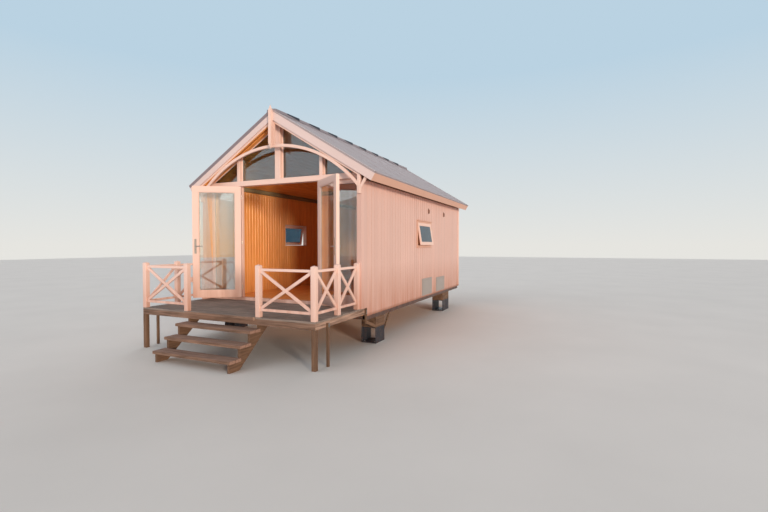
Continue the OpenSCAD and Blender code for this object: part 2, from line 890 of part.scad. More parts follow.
// Boards cut to teeth that carry the treads, from the deck's underside to the ground
module stair_stringers() {
    last = treads - 1;
    heel_y = first_nose_y + tread_d;
    teeth = [for (i = [last : -1 : 0]) each [
        [tooth_y(i), i == last ? 0 : tooth_z(i + 1)], [tooth_y(i), tooth_z(i)]
    ]];
    heel = [
        [heel_y, tooth_z(0)], [heel_y, deck_foot_z],
        [stringer_back(deck_foot_z), deck_foot_z], [stringer_back(0), 0]
    ];
    color(timber) place() for (s = [-1, 1]) side(s)
        across(stringer_x - stringer_t, stringer_x) polygon(concat(teeth, heel));
}

// Steel channels under the side walls, open towards the middle
module floor_runners() {
    edge_x = half_w - runner_w;
    web_x = half_w - channel_t;
    color(steel) place() for (s = [-1, 1]) side(s) along(deck_back, runner_back) difference() {
        translate([edge_x, runner_z]) square([runner_w, runner_h]);
        translate([edge_x - 1, runner_z + channel_t]) square([web_x - edge_x + 1, runner_h - 2 * channel_t]);
    }
}

module cross_beams() {
    beam_x = half_w - runner_w;
    beam_gap = (runner_back - deck_back - runner_w) / (cross_beam_count - 1);
    color(steel) place() for (i = [0 : cross_beam_count - 1]) translate([0, deck_back + i * beam_gap, 0])
        block([-beam_x, 0, runner_z], [beam_x, runner_w, wall_foot_z]);
}

module support_blocks() {
    color(timber) place() for (p = supports) for (s = [-1, 1]) side(s)
        block([half_w - foot_w, p[0] - p[1] / 2, block_z], [half_w, p[0] + p[1] / 2, runner_z]);
}

// Steel box stands, open at both ends
module support_feet() {
    color(steel) place() for (p = supports) for (s = [-1, 1]) side(s)
        along(p[0] - p[1] / 2, p[0] + p[1] / 2) difference() {
            translate([half_w - foot_w, 0]) square([foot_w, block_z]);
            translate([half_w - foot_w + stand_t, base_t])
                square([foot_w - 2 * stand_t, block_z - base_t - stand_t]);
        }
}

// Braces from the deck's hangers to the front blocks, and thin struts from the front stands to the runners
module underframe_braces() {
    block_front = front_foot_y - front_foot_l / 2;
    block_back = front_foot_y + front_foot_l / 2;
    strut_foot_z = runner_z - foot_strut_h;
    color(timber) place() for (s = [-1, 1]) side(s) across(deck_x, half_w) {
        polygon([
            [deck_back, hanger_z], [block_front, block_z],
            [block_front, block_z + brace_w], [deck_back, hanger_z + brace_w]
        ]);
        polygon([
            [block_back, strut_foot_z], [block_back + foot_strut_l, runner_z],
            [block_back + foot_strut_l - foot_strut_w, runner_z], [block_back, strut_foot_z + foot_strut_w]
        ]);
    }
}

// Hinge plates on the posts, each with a lower knuckle and a pin
module door_hinges() {
    color(steel) place() for (s = [-1, 1]) side(s) for (z = hinge_zs) translate([clear_x, 0, z]) {
        block([0, -strap_t, -knuckle_l], [strap_w, 0, 0]);
        translate([0, pivot_y, -knuckle_l]) {
            cylinder(r = knuckle_r, h = knuckle_l, $fn = round_fn);
            cylinder(r = pin_r, h = 2 * knuckle_l, $fn = round_fn);
        }
    }
}

// Turns a closed right leaf, drawn from its pivot, to its place as it stands
module hang_leaf(s, stand) {
    place() side(s) translate([clear_x, pivot_y, 0]) rotate([0, 0, open_angle(stand)])
        translate([0, -pivot_y, 0]) children();
}

// Outline of a leaf less a margin, drawn in x and z from the pivot
module leaf_blank(margin, low, y0, y1) {
    block([-edge_gap - leaf_w + margin, y0, leaf_z + low], [-edge_gap - margin, y1, leaf_z + leaf_h - margin]);
}

// A glazed leaf's frame with the upper knuckles of its hinges
module leaf_frame() {
    difference() {
        leaf_blank(0, 0, 0, leaf_t);
        leaf_blank(stile_w, kick_h, -1, leaf_t + 1);
    }
    for (z = hinge_zs) translate([0, 0, z + seat]) difference() {
        union() {
            block([-edge_gap - strap_w, -strap_t, 0], [0, 0, knuckle_l]);
            translate([0, pivot_y, 0]) cylinder(r = knuckle_r, h = knuckle_l, $fn = round_fn);
        }
        translate([0, pivot_y, -1]) cylinder(r = pin_r + pin_gap, h = knuckle_l + 2, $fn = round_fn);
    }
}

module leaf_glass() {
    leaf_blank(stile_w, kick_h, (leaf_t - glass_t) / 2, (leaf_t + glass_t) / 2);
}

// Lever handles on long plates, one on each face
module leaf_handles() {
    handle_x = -edge_gap - leaf_w + stile_w / 2;
    for (f = [0, 1]) translate([handle_x, f * leaf_t, floor_z + handle_h]) mirror([0, f, 0]) {
        block([-grip_plate_w / 2, -grip_plate_t, -grip_plate_l / 2], [grip_plate_w / 2, 0, grip_plate_l / 2]);
        rotate([90, 0, 0]) cylinder(r = lever_r, h = lever_out, $fn = round_fn);
        translate([0, -lever_out, 0]) {
            sphere(r = lever_r, $fn = round_fn);
            rotate([0, 90, 0]) cylinder(r = lever_r, h = lever_l, $fn = round_fn);
        }
    }
}

module left_door_frame() {
    color(white) hang_leaf(-1, left_stand) leaf_frame();
}

module left_door_glass() {
    color(pane) hang_leaf(-1, left_stand) leaf_glass();
}

module left_door_handles() {
    color(steel) hang_leaf(-1, left_stand) leaf_handles();
}

module right_door_frame() {
    color(white) hang_leaf(1, right_stand) leaf_frame();
}

module right_door_glass() {
    color(pane) hang_leaf(1, right_stand) leaf_glass();
}

module right_door_handles() {
    color(steel) hang_leaf(1, right_stand) leaf_handles();
}

floor();
left_wall();
right_wall();
back_wall();
wall_plates();
front_sill();
door_posts();
transom();
king_post();
gable_frame();
gable_glass();
sidelight_frames();
sidelight_glass();
left_roof_deck();
right_roof_deck();
left_roof_sheet();
right_roof_sheet();
ridge_cap();
left_bargeboards();
right_bargeboards();
eaves_fascias();
finial();
gable_truss();
arch_brace();
pendant_posts();
window_casings();
window_sashes();
window_glass();
service_hatches();
wall_vents();
deck_boards();
deck_frame();
deck_legs();
balustrade_posts();
front_rail_panels();
side_rail_panels();
stair_treads();
stair_stringers();
floor_runners();
cross_beams();
support_blocks();
support_feet();
underframe_braces();
door_hinges();
left_door_frame();
left_door_glass();
left_door_handles();
right_door_frame();
right_door_glass();
right_door_handles();
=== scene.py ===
"""Dresses the beach hut: boards, roofing, planks, double glazing and fittings round its frame."""
import json
import math

import bmesh
import bpy
from mathutils import Matrix, Vector


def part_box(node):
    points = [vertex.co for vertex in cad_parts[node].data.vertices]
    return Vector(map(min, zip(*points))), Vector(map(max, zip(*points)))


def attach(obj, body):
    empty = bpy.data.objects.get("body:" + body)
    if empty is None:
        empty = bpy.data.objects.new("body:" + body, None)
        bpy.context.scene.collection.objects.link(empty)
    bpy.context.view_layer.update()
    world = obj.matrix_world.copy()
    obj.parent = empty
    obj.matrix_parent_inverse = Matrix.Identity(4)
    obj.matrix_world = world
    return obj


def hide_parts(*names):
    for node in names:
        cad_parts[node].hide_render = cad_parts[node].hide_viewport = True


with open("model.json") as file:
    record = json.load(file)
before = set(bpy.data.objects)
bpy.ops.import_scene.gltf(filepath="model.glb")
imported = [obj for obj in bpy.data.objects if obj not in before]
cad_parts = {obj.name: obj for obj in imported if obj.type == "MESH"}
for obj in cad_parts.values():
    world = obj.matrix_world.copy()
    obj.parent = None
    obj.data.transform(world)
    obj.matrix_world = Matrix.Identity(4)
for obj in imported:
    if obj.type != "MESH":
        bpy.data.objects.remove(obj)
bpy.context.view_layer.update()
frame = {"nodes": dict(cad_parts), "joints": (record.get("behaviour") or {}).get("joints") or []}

bl_info = {
    "name": "Beach Hut",
    "version": (1, 0, 0),
    "blender": (4, 5, 0),
    "location": "3D View > Sidebar > Beach Hut",
    "description": "Boards, glazes and finishes a timber beach hut round its frame",
    "category": "Object",
}

UP = Vector((0.0, 0.0, 1.0))

# The two sides of the hut, and the sign of each side's place across it
SIDES = (("left", -1), ("right", 1))

# Places that are nearer to each other than this count as the same
TOLERANCE = 1e-4

# Where the frame has its pieces
DECK_LOW, DECK_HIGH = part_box("deck_boards")
FRONT_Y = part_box("door_posts")[0].y
WALL_LOW, WALL_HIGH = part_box("right_wall")
BACK_LOW, BACK_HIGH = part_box("back_wall")
FLOOR_LOW, FLOOR_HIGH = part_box("floor")
MID_Y = (FLOOR_LOW.y + FLOOR_HIGH.y) / 2
KING_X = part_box("king_post")[1].x

# The roof's right slope: the sheet's upper face runs from the ridge to the eaves
SHEET_LOW, SHEET_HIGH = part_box("right_roof_sheet")
RIDGE_Z = SHEET_HIGH.z
EAVES = max(frame["nodes"]["right_roof_sheet"].data.vertices, key=lambda v: round(v.co.x, 4)).co
PITCH = math.atan2(RIDGE_Z - EAVES.z, EAVES.x)
EAVES_U = EAVES.x / math.cos(PITCH)
SHEET_T = (EAVES.z - SHEET_LOW.z) / math.cos(PITCH)
SOFFIT = min(frame["nodes"]["right_roof_deck"].data.vertices, key=lambda v: round(v.co.z, 4)).co
EAVES_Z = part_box("eaves_fascias")[0].z

# The bar that cuts a groove stands on its edge, and is longer than any piece
QUARTER, BAR_L = math.radians(45), 20.0
# Grooves inside and under the roof are finer than those outside
FINE_GROOVE, SOFFIT_GROOVE = 0.45, 0.8

# Heads of the fixings: their radius, their height, their number of sides, and their top's share of the radius
HEADS = {
    "nail": (0.0035, 0.0008, 6, 0.8),
    "deck screw": (0.0045, 0.0007, 8, 0.8),
    "plate screw": (0.0045, 0.0012, 12, 0.8),
    "lock cylinder": (0.0085, 0.004, 24, 0.94),
    "keyway": (0.0025, 0.0006, 8, 0.8),
    "stay pin": (0.006, 0.010, 12, 0.8),
    "washer": (0.0176, 0.0025, 20, 0.96),
    "coach bolt": (0.011, 0.007, 6, 0.92),
}


def slope(u, v):
    """A point of the right slope in x and z: u down from the ridge, v in from the sheet's upper face."""
    return (u * math.cos(PITCH) - v * math.sin(PITCH), RIDGE_Z - u * math.sin(PITCH) - v * math.cos(PITCH))


def soffit_z(x):
    """Height of the roof deck's underside at a place across the hut."""
    return SOFFIT.z + (SOFFIT.x - abs(x)) * math.tan(PITCH)


def linear(code):
    """Turns an sRGB hex colour to linear red, green and blue."""
    parts = [int(code[i:i + 2], 16) / 255 for i in (0, 2, 4)]
    return [c / 12.92 if c <= 0.04045 else ((c + 0.055) / 1.055) ** 2.4 for c in parts]


def colour(name, about, code):
    """A colour that can be set; its first value is an sRGB hex colour."""
    return bpy.props.FloatVectorProperty(
        name=name, description=about, subtype="COLOR", size=3, min=0, max=1, default=linear(code))


def length(name, about, metres):
    """A length that can be set."""
    return bpy.props.FloatProperty(name=name, description=about, unit="LENGTH", min=0.0, default=metres)


class HutSizes(bpy.types.PropertyGroup):
    """Sizes of the boards and other repeated pieces."""

    board_w: length("Cladding board", "Width that each board of the outer walls covers", 0.140)
    lining_w: length("Lining board", "Width that each board inside covers", 0.095)
    groove_w: length("Groove", "Width of the grooves between boards", 0.014)
    corner_w: length("Corner board", "Width of the boards on the rear corners", 0.090)
    corner_t: length("Corner board thickness", "Thickness of the corner boards", 0.018)
    plank_w: length("Deck plank", "Width of a deck plank", 0.140)
    plank_gap: length("Plank gap", "Gap between deck planks", 0.006)
    sheet_w: length("Roof strip", "Width that each strip of roofing covers", 1.0)
    lap_t: length("Lap", "Thickness of a lap between two strips of roofing", 0.003)
    verge_w: length("Verge trim", "Width of the trim along the ends of the roof", 0.085)
    fold_w: length("Verge fold", "Height of the membrane folded down over the left bargeboard", 0.057)
    cap_l: length("Ridge cap", "Length that each ridge cap covers", 0.69)
    cap_w: length("Ridge cap half width", "Distance of a ridge cap's upright sides from the ridge", 0.104)
    cap_front: bpy.props.FloatProperty(
        name="Ridge cap's front end", description="Share of its rear height that a cap's side has in front",
        min=0.0, max=1.0, default=0.78)
    vent_front: bpy.props.FloatProperty(
        name="Ridge vent's front end", description="Share of a cap's side that a vent's front end covers",
        min=0.0, max=1.0, default=0.4)
    vent_l: length("Ridge vent", "Length of the vents in the sides of the ridge caps", 0.40)
    pane_t: length("Pane", "Thickness of each pane of the double glazing", 0.004)
    spacer_w: length("Spacer", "Width of the spacer between two panes", 0.022)
    bead_w: length("Glazing bead", "Width of the beads round the glass", 0.015)
    sleeper_w: length("Sleeper", "Width of the sleepers under the hut", 0.140)
    ease: length("Eased edge", "Width of the eased edges on sawn and planed timber", 0.003)
    # How high the walls darken towards their foot, in streaks and in a band at the very foot
    stain_h: length("Stain", "Height that salt and rust stain the walls from their foot up", 0.9)
    splash_h: length("Splash", "Height that splashes stain the walls from their foot up", 0.06)
    # The next two sizes place a painted shadow: a dark band on the side walls close under the eaves boards
    eaves_shadow_h: length("Shading", "Height over the eaves boards' lower edge where dirt on the walls starts", 0.045)
    eaves_shadow_fade: length("Dirt's edge", "Half the height in which the dirt grows to its full depth", 0.012)
    stay_w: length("Window stay", "Width of the stays that hold the windows open", 0.012)
    stay_t: length("Window stay thickness", "Thickness of the window stays", 0.003)


class HutColours(bpy.types.PropertyGroup):
    """Colours of the finishes."""

    cladding: colour("Cladding paint", "Paint on the boarded walls", "E2BDB3")
    joints: colour("Joint paint", "Dusty paint in the joints between boards", "B98A79")
    trim: colour("Trim paint", "Paint on the posts, boards and doors", "F0D0C5")
    barge: colour("Bargeboard paint", "Paint on the boards along the gables", "E2CCC9")
    # Painted light and shade: the trim paint made darker and more orange for the eaves boards and window
    # casings on the sides, for the low warm sun on them
    side_lit_trim: colour("Eaves paint", "Paint on the boards along the eaves", "DAAD98")
    # A brown that darkens the walls towards their foot, in streaks
    stain: colour("Stain", "Salt and rust stain low on the walls", "A9643F")
    # Painted shade: the colour of the eaves boards' shadow on the side walls
    painted_eaves_shadow: colour("Shading", "Dirt under the eaves", "4A3022")
    pine: colour("Pine", "Varnished pine boards inside", "FFB668")
    pine_dark: colour("Pine grain", "Late wood of the pine", "E29551")
    # Partly painted shade: the plates are made a darker grey-green than the other pine
    plate: colour("Wall plates", "Grey-green stain on the wall plates", "8C8366")
    roofing: colour("Roofing", "Roof strips", "A4999E")
    # Painted shade: this darker tone is on the left fold only; the right fold has the paler trim tone
    fold: colour("Folded membrane", "Bare membrane folded over the ends of the roof", "877B82")
    cap: colour("Ridge caps", "Caps along the ridge", "8D8994")
    # Painted shade: the near-black of the ridge vents stands for the shade inside their slots
    ridge: colour("Ridge vents", "Vents in the sides of the ridge caps", "272C3B")
    verge: colour("Verge trim", "Trim along the ends of the roof", "AC9EA0")
    deck: colour("Deck", "Weathered deck planks", "9A8A80")
    deck_dark: colour("Deck grain", "Dark grain of the deck", "655C58")
    nosing: colour("Nosing", "Bleached board along the front of the deck", "B09888")
    tread: colour("Treads", "Worn treads", "AC8777")
    tread_dark: colour("Tread grain", "Dark grain of the treads", "7E6355")
    # Painted shade: a darker brown on the faces of the deck's frame and of the stair planks that look to the
    # front
    edge: colour("Front edges", "Front edges of the treads and of the deck", "987866")
    rim: colour("Deck frame", "Sawn frame of the deck", "CDAA97")
    timber: colour("Sawn timber", "Legs, stringers and blocks", "7C5E48")
    timber_dark: colour("Sawn grain", "Dark grain of the sawn timber", "4E392C")
    steel: colour("Steel paint", "Painted stands under the hut", "262D38")
    runner: colour("Runner steel", "Steel channels and beams under the hut", "54443E")
    rust: colour("Rust", "Rust on the painted steel", "7A4A34")
    hatch: colour("Hatch", "Service hatches", "A39D9A")
    # Painted shadow: the vents have the brown of the shadow that their hoods cast on the wall
    vent: colour("Vent", "Hooded vents in the wall", "8A6A5C")
    glass: colour("Glass", "Clear glass of the doors and beside them", "F4F7F6")
    grey_glass: colour("Gable glass", "Grey glass of the gable", "C0D2D6")
    # Partly painted reflection: the acrylic's blue-grey tint stands in part for the sky that the windows
    # mirror
    acrylic: colour("Window acrylic", "Tinted acrylic of the side windows", "849FAE")
    clear: colour("Light through glass", "Tint of the lamps' light behind a pane", "FCFDFD")
    metal: colour("Stainless steel", "Handles and hinges", "C4BEB8")
    zinc: colour("Zinc", "Screws, bolts and spacers", "A7A5A2")
    ground: colour("Floor", "Floor of the stage", "ECE8E4")
    horizon: colour("Horizon", "Lower part of the backdrop", "E6E5E0")
    sky: colour("Sky", "Upper part of the backdrop", "BAD2E2")
    dusk: colour("Dusk", "Glow that mirrors and glass see along the horizon", "FFC48A")
    haze: colour("Haze", "Glow that mirrors and glass see above it", "FFF0D4")


def add(tree, kind, inputs=None, **settings):
    """Adds a node with its settings, and sets or links its inputs; a node stands for its first output."""
    made = tree.nodes.new(kind)
    for key, value in settings.items():
        setattr(made, key, value)
    for key, value in (inputs or {}).items():
        source = value.outputs[0] if isinstance(value, bpy.types.Node) else value
        if isinstance(source, bpy.types.NodeSocket):
            tree.links.new(source, made.inputs[key])
        else:
            made.inputs[key].default_value = source
    return made


def shade(name):
    """An empty material with its tree and its Object coordinates."""
    made = bpy.data.materials.new(name)
    made.use_nodes = True
    tree = made.node_tree
    tree.nodes.clear()
    return made, tree, add(tree, "ShaderNodeTexCoord").outputs["Object"]


def surface(tree, base, shine, relief, more=None):
    """The surface of a material: its colour, its roughness over a pattern, and its relief in metres."""
    pattern, smooth, rough = shine
    height, depth = relief
    gloss = add(tree, "ShaderNodeMapRange", {"Value": pattern, "To Min": smooth, "To Max": rough})
    normal = add(tree, "ShaderNodeBump", {"Height": height, "Distance": depth})
    shader = add(tree, "ShaderNodeBsdfPrincipled", {
        "Base Color": base, "Roughness": gloss, "Normal": normal, **(more or {})})
    add(tree, "ShaderNodeOutputMaterial", {"Surface": shader})


def rgba(tone, share=1.0):
    """A colour for a socket, darkened or lightened by a share."""
    return [*(min(c * share, 1.0) for c in tone[:3]), 1.0]


def layered(tree, base, *layers):
    """A colour with other tones laid over it in turn, each by its own share."""
    for share, tone in layers:
        base = add(tree, "ShaderNodeMix", {0: share, 6: base, 7: tone}, data_type="RGBA").outputs[2]
    return base


def patches(tree, place, scale, low, high, least=0.0, most=1.0, detail=4.0, stretch=(1.0, 1.0, 1.0)):
    """Soft patches of noise: a share that runs from least to most as the noise runs from low to high."""
    where = add(tree, "ShaderNodeMapping", {"Vector": place, "Scale": stretch})
    cloud = add(tree, "ShaderNodeTexNoise", {"Vector": where, "Scale": scale, "Detail": detail})
    return add(tree, "ShaderNodeMapRange", {
        "Value": cloud, "From Min": low, "From Max": high, "To Min": least, "To Max": most})


# How much the grain is stretched when it runs along an axis
GRAIN = {"x": (0.06, 1.0, 1.0), "y": (1.0, 0.06, 1.0), "z": (1.0, 1.0, 0.06)}


def grain_lines(tree, place, run, scale, low=0.35, high=0.70):
    """Long lines of wood grain that run along an axis; scale is the number of lines in a metre."""
    return patches(tree, place, scale, low, high, detail=7.0, stretch=GRAIN[run])


def board_tone(tree, place, across, width, most):
    """A share that changes from one board to the next along an axis."""
    part = add(tree, "ShaderNodeSeparateXYZ", {"Vector": place}).outputs[across.upper()]
    turns = add(tree, "ShaderNodeMath", {0: part, 1: width}, operation="DIVIDE")
    board = add(tree, "ShaderNodeMath", {0: turns}, operation="FLOOR")
    chance = add(tree, "ShaderNodeTexWhiteNoise", {"W": board}, noise_dimensions="1D").outputs["Value"]
    return add(tree, "ShaderNodeMath", {0: chance, 1: most}, operation="MULTIPLY")


def painted_softwood(name, tone, run, across=None, width=0.14):
    """Planed softwood under satin house paint: an even coat, faint grain, low gloss, a darker, browner foot.
    """
    sizes, tones = bpy.context.scene.hut_sizes, bpy.context.scene.hut_colours
    made, tree, place = shade(name)
    grain = grain_lines(tree, place, run, 60.0)
    cloud = patches(tree, place, 1.3, 0.3, 0.7)
    base = layered(tree, rgba(tone), (patches(tree, place, 0.9, 0.35, 0.7, most=0.5), rgba(tone, 0.9)))
    if across:
        base = layered(tree, base, (board_tone(tree, place, across, width, 0.30), rgba(tone, 0.72)))
    height = add(tree, "ShaderNodeSeparateXYZ", {"Vector": place}).outputs["Z"]
    # The walls turn darker and browner in streaks towards their foot, and darker again in a band at the very
    # foot
    low = add(tree, "ShaderNodeMapRange", {
        "Value": height, "From Min": WALL_LOW.z + sizes.stain_h, "From Max": WALL_LOW.z})
    streaks = patches(tree, place, 1.0, 0.30, 0.75, least=0.25, most=0.85, stretch=(9.0, 9.0, 0.7))
    stained = add(tree, "ShaderNodeMath", {0: low, 1: streaks}, operation="MULTIPLY")
    splashed = add(tree, "ShaderNodeMapRange", {
        "Value": height, "From Min": WALL_LOW.z + sizes.splash_h, "From Max": WALL_LOW.z + sizes.splash_h / 6,
        "To Max": 0.7})
    base = layered(tree, base, (stained, rgba(tones.stain)), (splashed, rgba(tones.stain, 0.6)))
    if across == "y":
        # Painted shadow of the eaves boards: the side walls turn dark close under the roof
        edge = EAVES_Z + sizes.eaves_shadow_h
        shadow_band = add(tree, "ShaderNodeMapRange", {
            "Value": height, "From Min": edge - sizes.eaves_shadow_fade, "From Max": edge + sizes.eaves_shadow_fade})
        base = layered(tree, base, (shadow_band, rgba(tones.painted_eaves_shadow)))
    surface(tree, base, (cloud, 0.38, 0.52), (grain, 0.0004))
    return made


def varnished_pine(run, across, width):
    """Pine boards under clear varnish: orange-yellow, with dark grain lines, a few knots and a low gloss."""
    tones = bpy.context.scene.hut_colours
    made, tree, place = shade(f"varnished pine {run}{across}")
    grain = grain_lines(tree, place, run, 34.0, 0.40, 0.75)
    knots = patches(tree, place, 6.0, 0.70, 0.78, most=0.6, detail=2.0, stretch=GRAIN[run])
    boards = board_tone(tree, place, across, width, 0.30)
    base = layered(
        tree, rgba(tones.pine), (grain, rgba(tones.pine_dark)), (boards, rgba(tones.pine_dark, 0.85)),
        (knots, rgba(tones.pine_dark, 0.4)))
    surface(tree, base, (grain, 0.32, 0.46), (grain, 0.0004), {"Coat Weight": 0.2, "Coat Roughness": 0.2})
    return made


def stained_pine():
    """Planed pine in a flat grey-green, with its grain showing darker; the grey-green is partly a stain and
    partly painted shade.
    """
    tone = bpy.context.scene.hut_colours.plate
    made, tree, place = shade("stained pine")
    grain = grain_lines(tree, place, "y", 34.0)
    base = layered(tree, rgba(tone), (grain, rgba(tone, 0.7)))
    surface(tree, base, (grain, 0.5, 0.65), (grain, 0.0004))
    return made


def roof_membrane():
    """Mineral-faced roofing membrane: lilac grey and dull, with fine grit, and streaked by rain."""
    tone = bpy.context.scene.hut_colours.roofing
    made, tree, place = shade("mineral roofing membrane")
    streaks = patches(tree, place, 1.2, 0.30, 0.72, detail=5.0, stretch=(0.35, 7.0, 0.35))
    # Real grit is under 1 mm; 2 mm is the finest that shows close by
    grit = patches(tree, place, 500.0, 0.3, 0.7, most=0.35, detail=2.0)
    base = layered(tree, rgba(tone, 0.82), (streaks, rgba(tone, 1.16)), (grit, rgba(tone, 0.5)))
    surface(tree, base, (streaks, 0.55, 0.72), (grit, 0.0008))
    return made


def sawn_timber(name, light, dark, run, across, width):
    """Bare softwood left to the weather: open dark grain, boards of unlike tone, pale patches, and dull."""
    made, tree, place = shade(name)
    grain = grain_lines(tree, place, run, 42.0)
    bleached = patches(tree, place, 2.2, 0.45, 0.75, most=0.3)
    boards = board_tone(tree, place, across, width, 0.35)
    base = layered(tree, rgba(light), (grain, rgba(dark)), (boards, rgba(dark)), (bleached, rgba(light, 1.3)))
    surface(tree, base, (grain, 0.7, 0.88), (grain, 0.0015))
    return made


def window_pane(name, tone, ior, coat=0.0):
    """Float glass or acrylic: smooth, clear or tinted, more of a mirror where coated; lamps shine through."""
    made, tree, _ = shade(name)
    pane = add(tree, "ShaderNodeBsdfPrincipled", {
        "Base Color": rgba(tone), "Roughness": 0.01, "IOR": ior, "Transmission Weight": 1.0,
        "Coat Weight": coat, "Coat Roughness": 0.01, "Coat IOR": 2.0})
    clear = add(tree, "ShaderNodeBsdfTransparent", {"Color": rgba(bpy.context.scene.hut_colours.clear)})
    rays = add(tree, "ShaderNodeLightPath").outputs
    through = add(tree, "ShaderNodeMath", {
        0: rays["Is Shadow Ray"], 1: rays["Is Diffuse Ray"]}, operation="MAXIMUM")
    both = add(tree, "ShaderNodeMixShader", {0: through, 1: pane, 2: clear})
    add(tree, "ShaderNodeOutputMaterial", {"Surface": both})
    return made


def primed_steel(name, tone, most):
    """Hot-rolled steel under primer: dark with a soft sheen, mottled, and freckled or streaked with rust."""
    made, tree, place = shade(name)
    cloud = patches(tree, place, 6.0, 0.3, 0.7, detail=5.0)
    rust = patches(tree, place, 28.0, 0.60 - most / 4, 0.72, most=most, detail=6.0)
    rusty = rgba(bpy.context.scene.hut_colours.rust)
    base = layered(tree, rgba(tone), (cloud, rgba(tone, 0.6)), (rust, rusty))
    surface(tree, base, (cloud, 0.42, 0.6), (cloud, 0.0004))
    return made


def bright_metal(name, tone, rough, run=(300.0, 300.0, 8.0)):
    """Brushed or coated metal: pale grey with fine lines that stretch its highlight."""
    made, tree, place = shade(name)
    lines = patches(tree, place, 3.0, 0.3, 0.7, detail=3.0, stretch=run)
    base = layered(tree, rgba(tone), (lines, rgba(tone, 0.88)))
    surface(tree, base, (lines, rough - 0.06, rough + 0.08), (lines, 0.0001), {"Metallic": 1.0})
    return made


def satin_plastic(name, tone, rough):
    """Moulded outdoor plastic or coated sheet: even colour, and a fine satin texture that dulls the shine."""
    made, tree, place = shade(name)
    grain = patches(tree, place, 220.0, 0.3, 0.7, detail=3.0)
    base = layered(tree, rgba(tone), (patches(tree, place, 3.0, 0.3, 0.7, most=0.5), rgba(tone, 0.82)))
    surface(tree, base, (grain, rough - 0.06, rough + 0.06), (grain, 0.0002))
    return made


FINISHES = {}


def finish_for(key):
    """The material for a finish, made the first time that it is asked for."""
    if key in FINISHES:
        return FINISHES[key]
    sizes, tones = bpy.context.scene.hut_sizes, bpy.context.scene.hut_colours
    planks = sizes.plank_w + sizes.plank_gap
    boards = sizes.lining_w * math.cos(PITCH)
    dark = tones.timber_dark
    makers = {
        "paint x": (painted_softwood, "painted softwood rails", tones.trim, "x"),
        "paint y": (painted_softwood, "painted softwood side boards", tones.trim, "y"),
        "paint z": (painted_softwood, "painted softwood posts", tones.trim, "z"),
        "cladding y": (painted_softwood, "painted side cladding", tones.cladding, "z", "y", sizes.board_w),
        "cladding x": (painted_softwood, "painted end cladding", tones.cladding, "z", "x", sizes.board_w),
        "joints y": (painted_softwood, "dusty paint in side joints", tones.joints, "z"),
        "joints x": (painted_softwood, "dusty paint in end joints", tones.joints, "z"),
        # Painted light and shade: side-facing trim in a darker, warmer copy of the trim paint
        "side_lit_trim": (painted_softwood, "painted eaves boards", tones.side_lit_trim, "y"),
        "barge": (painted_softwood, "painted bargeboards", tones.barge, "x"),
        "fold": (satin_plastic, "folded roofing membrane", tones.fold, 0.6),
        "cap": (satin_plastic, "coated steel ridge caps", tones.cap, 0.5),
        "ridge": (satin_plastic, "ridge vent plastic", tones.ridge, 0.5),
        "lining y": (varnished_pine, "z", "y", sizes.lining_w),
        "lining x": (varnished_pine, "z", "x", sizes.lining_w),
        "soffit": (varnished_pine, "y", "x", boards),
        "rake": (varnished_pine, "x", "y", sizes.board_w),
        "floor": (varnished_pine, "y", "x", sizes.plank_w),
        "plate": (stained_pine,),
        "roofing": (roof_membrane,),
        "verge": (satin_plastic, "coated steel trim", tones.verge, 0.5),
        "deck": (sawn_timber, "weathered deck softwood", tones.deck, tones.deck_dark, "x", "y", planks),
        "rim": (sawn_timber, "weathered joists", tones.rim, dark, "y", "z", 0.2),
        "nosing": (sawn_timber, "bleached nosing board", tones.nosing, tones.tread_dark, "x", "y", 0.12),
        # Painted shade: the darker brown that the front faces of the deck's frame and of the treads get
        "edge": (sawn_timber, "weathered front edges", tones.edge, dark, "x", "z", 0.18),
        "treads": (sawn_timber, "worn stair planks", tones.tread, tones.tread_dark, "x", "y", 0.12),
        "legs": (sawn_timber, "sawn larch uprights", tones.timber, dark, "z", "x", 0.3),
        "timber": (sawn_timber, "sawn larch", tones.timber, dark, "y", "x", 0.1),
        "glass": (window_pane, "coated float glass", tones.glass, 1.52, 1.0),
        "grey glass": (window_pane, "grey float glass", tones.grey_glass, 1.52),
        "acrylic": (window_pane, "blue-grey cast acrylic", tones.acrylic, 1.49),
        "steel": (primed_steel, "primed hot-rolled steel", tones.steel, 0.45),
        "runner": (primed_steel, "rusting channel steel", tones.runner, 0.7),
        "metal": (bright_metal, "brushed stainless steel", tones.metal, 0.28),
        "zinc": (bright_metal, "zinc-plated steel", tones.zinc, 0.42, (60.0, 60.0, 60.0)),
        "hatch": (satin_plastic, "hatch plastic", tones.hatch, 0.45),
        "vent": (satin_plastic, "vent plastic", tones.vent, 0.55),
    }
    maker, *given = makers[key]
    FINISHES[key] = maker(*given)
    return FINISHES[key]


def new_piece(name, mesh, body="hut", replaced=()):
    """Links a finished mesh as a piece of a body, and hides the nodes that it replaces."""
    made = bpy.data.objects.new(name, mesh)
    bpy.context.scene.collection.objects.link(made)
    if replaced:
        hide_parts(*replaced)
    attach(made, body)


def finished_mesh(name, bm, key=None):
    """Turns a bmesh into a mesh with outward faces and one finish."""
    bmesh.ops.recalc_face_normals(bm, faces=bm.faces)
    mesh = bpy.data.meshes.new(name)
    bm.to_mesh(mesh)
    bm.free()
    if key:
        mesh.materials.append(finish_for(key))
    return mesh


def new_rows(name, bm, key, slot, count, step, replaced=(), **more):
    """Links copies of a bmesh in rows as a piece of the hut."""
    new_piece(name, in_rows(finished_mesh(name, bm), key, count, step, **more), "hut", replaced)


def new_solid(name, bm, key, body="hut", replaced=()):
    """Finishes a bmesh with one finish and links it as a piece."""
    new_piece(name, finished_mesh(name, bm, key), body, replaced)


def repaint(mesh, key, test):
    """Gives the faces that pass a test another finish."""
    mesh.materials.append(finish_for(key))
    index = len(mesh.materials) - 1
    for face in mesh.polygons:
        if test(face):
            face.material_index = index


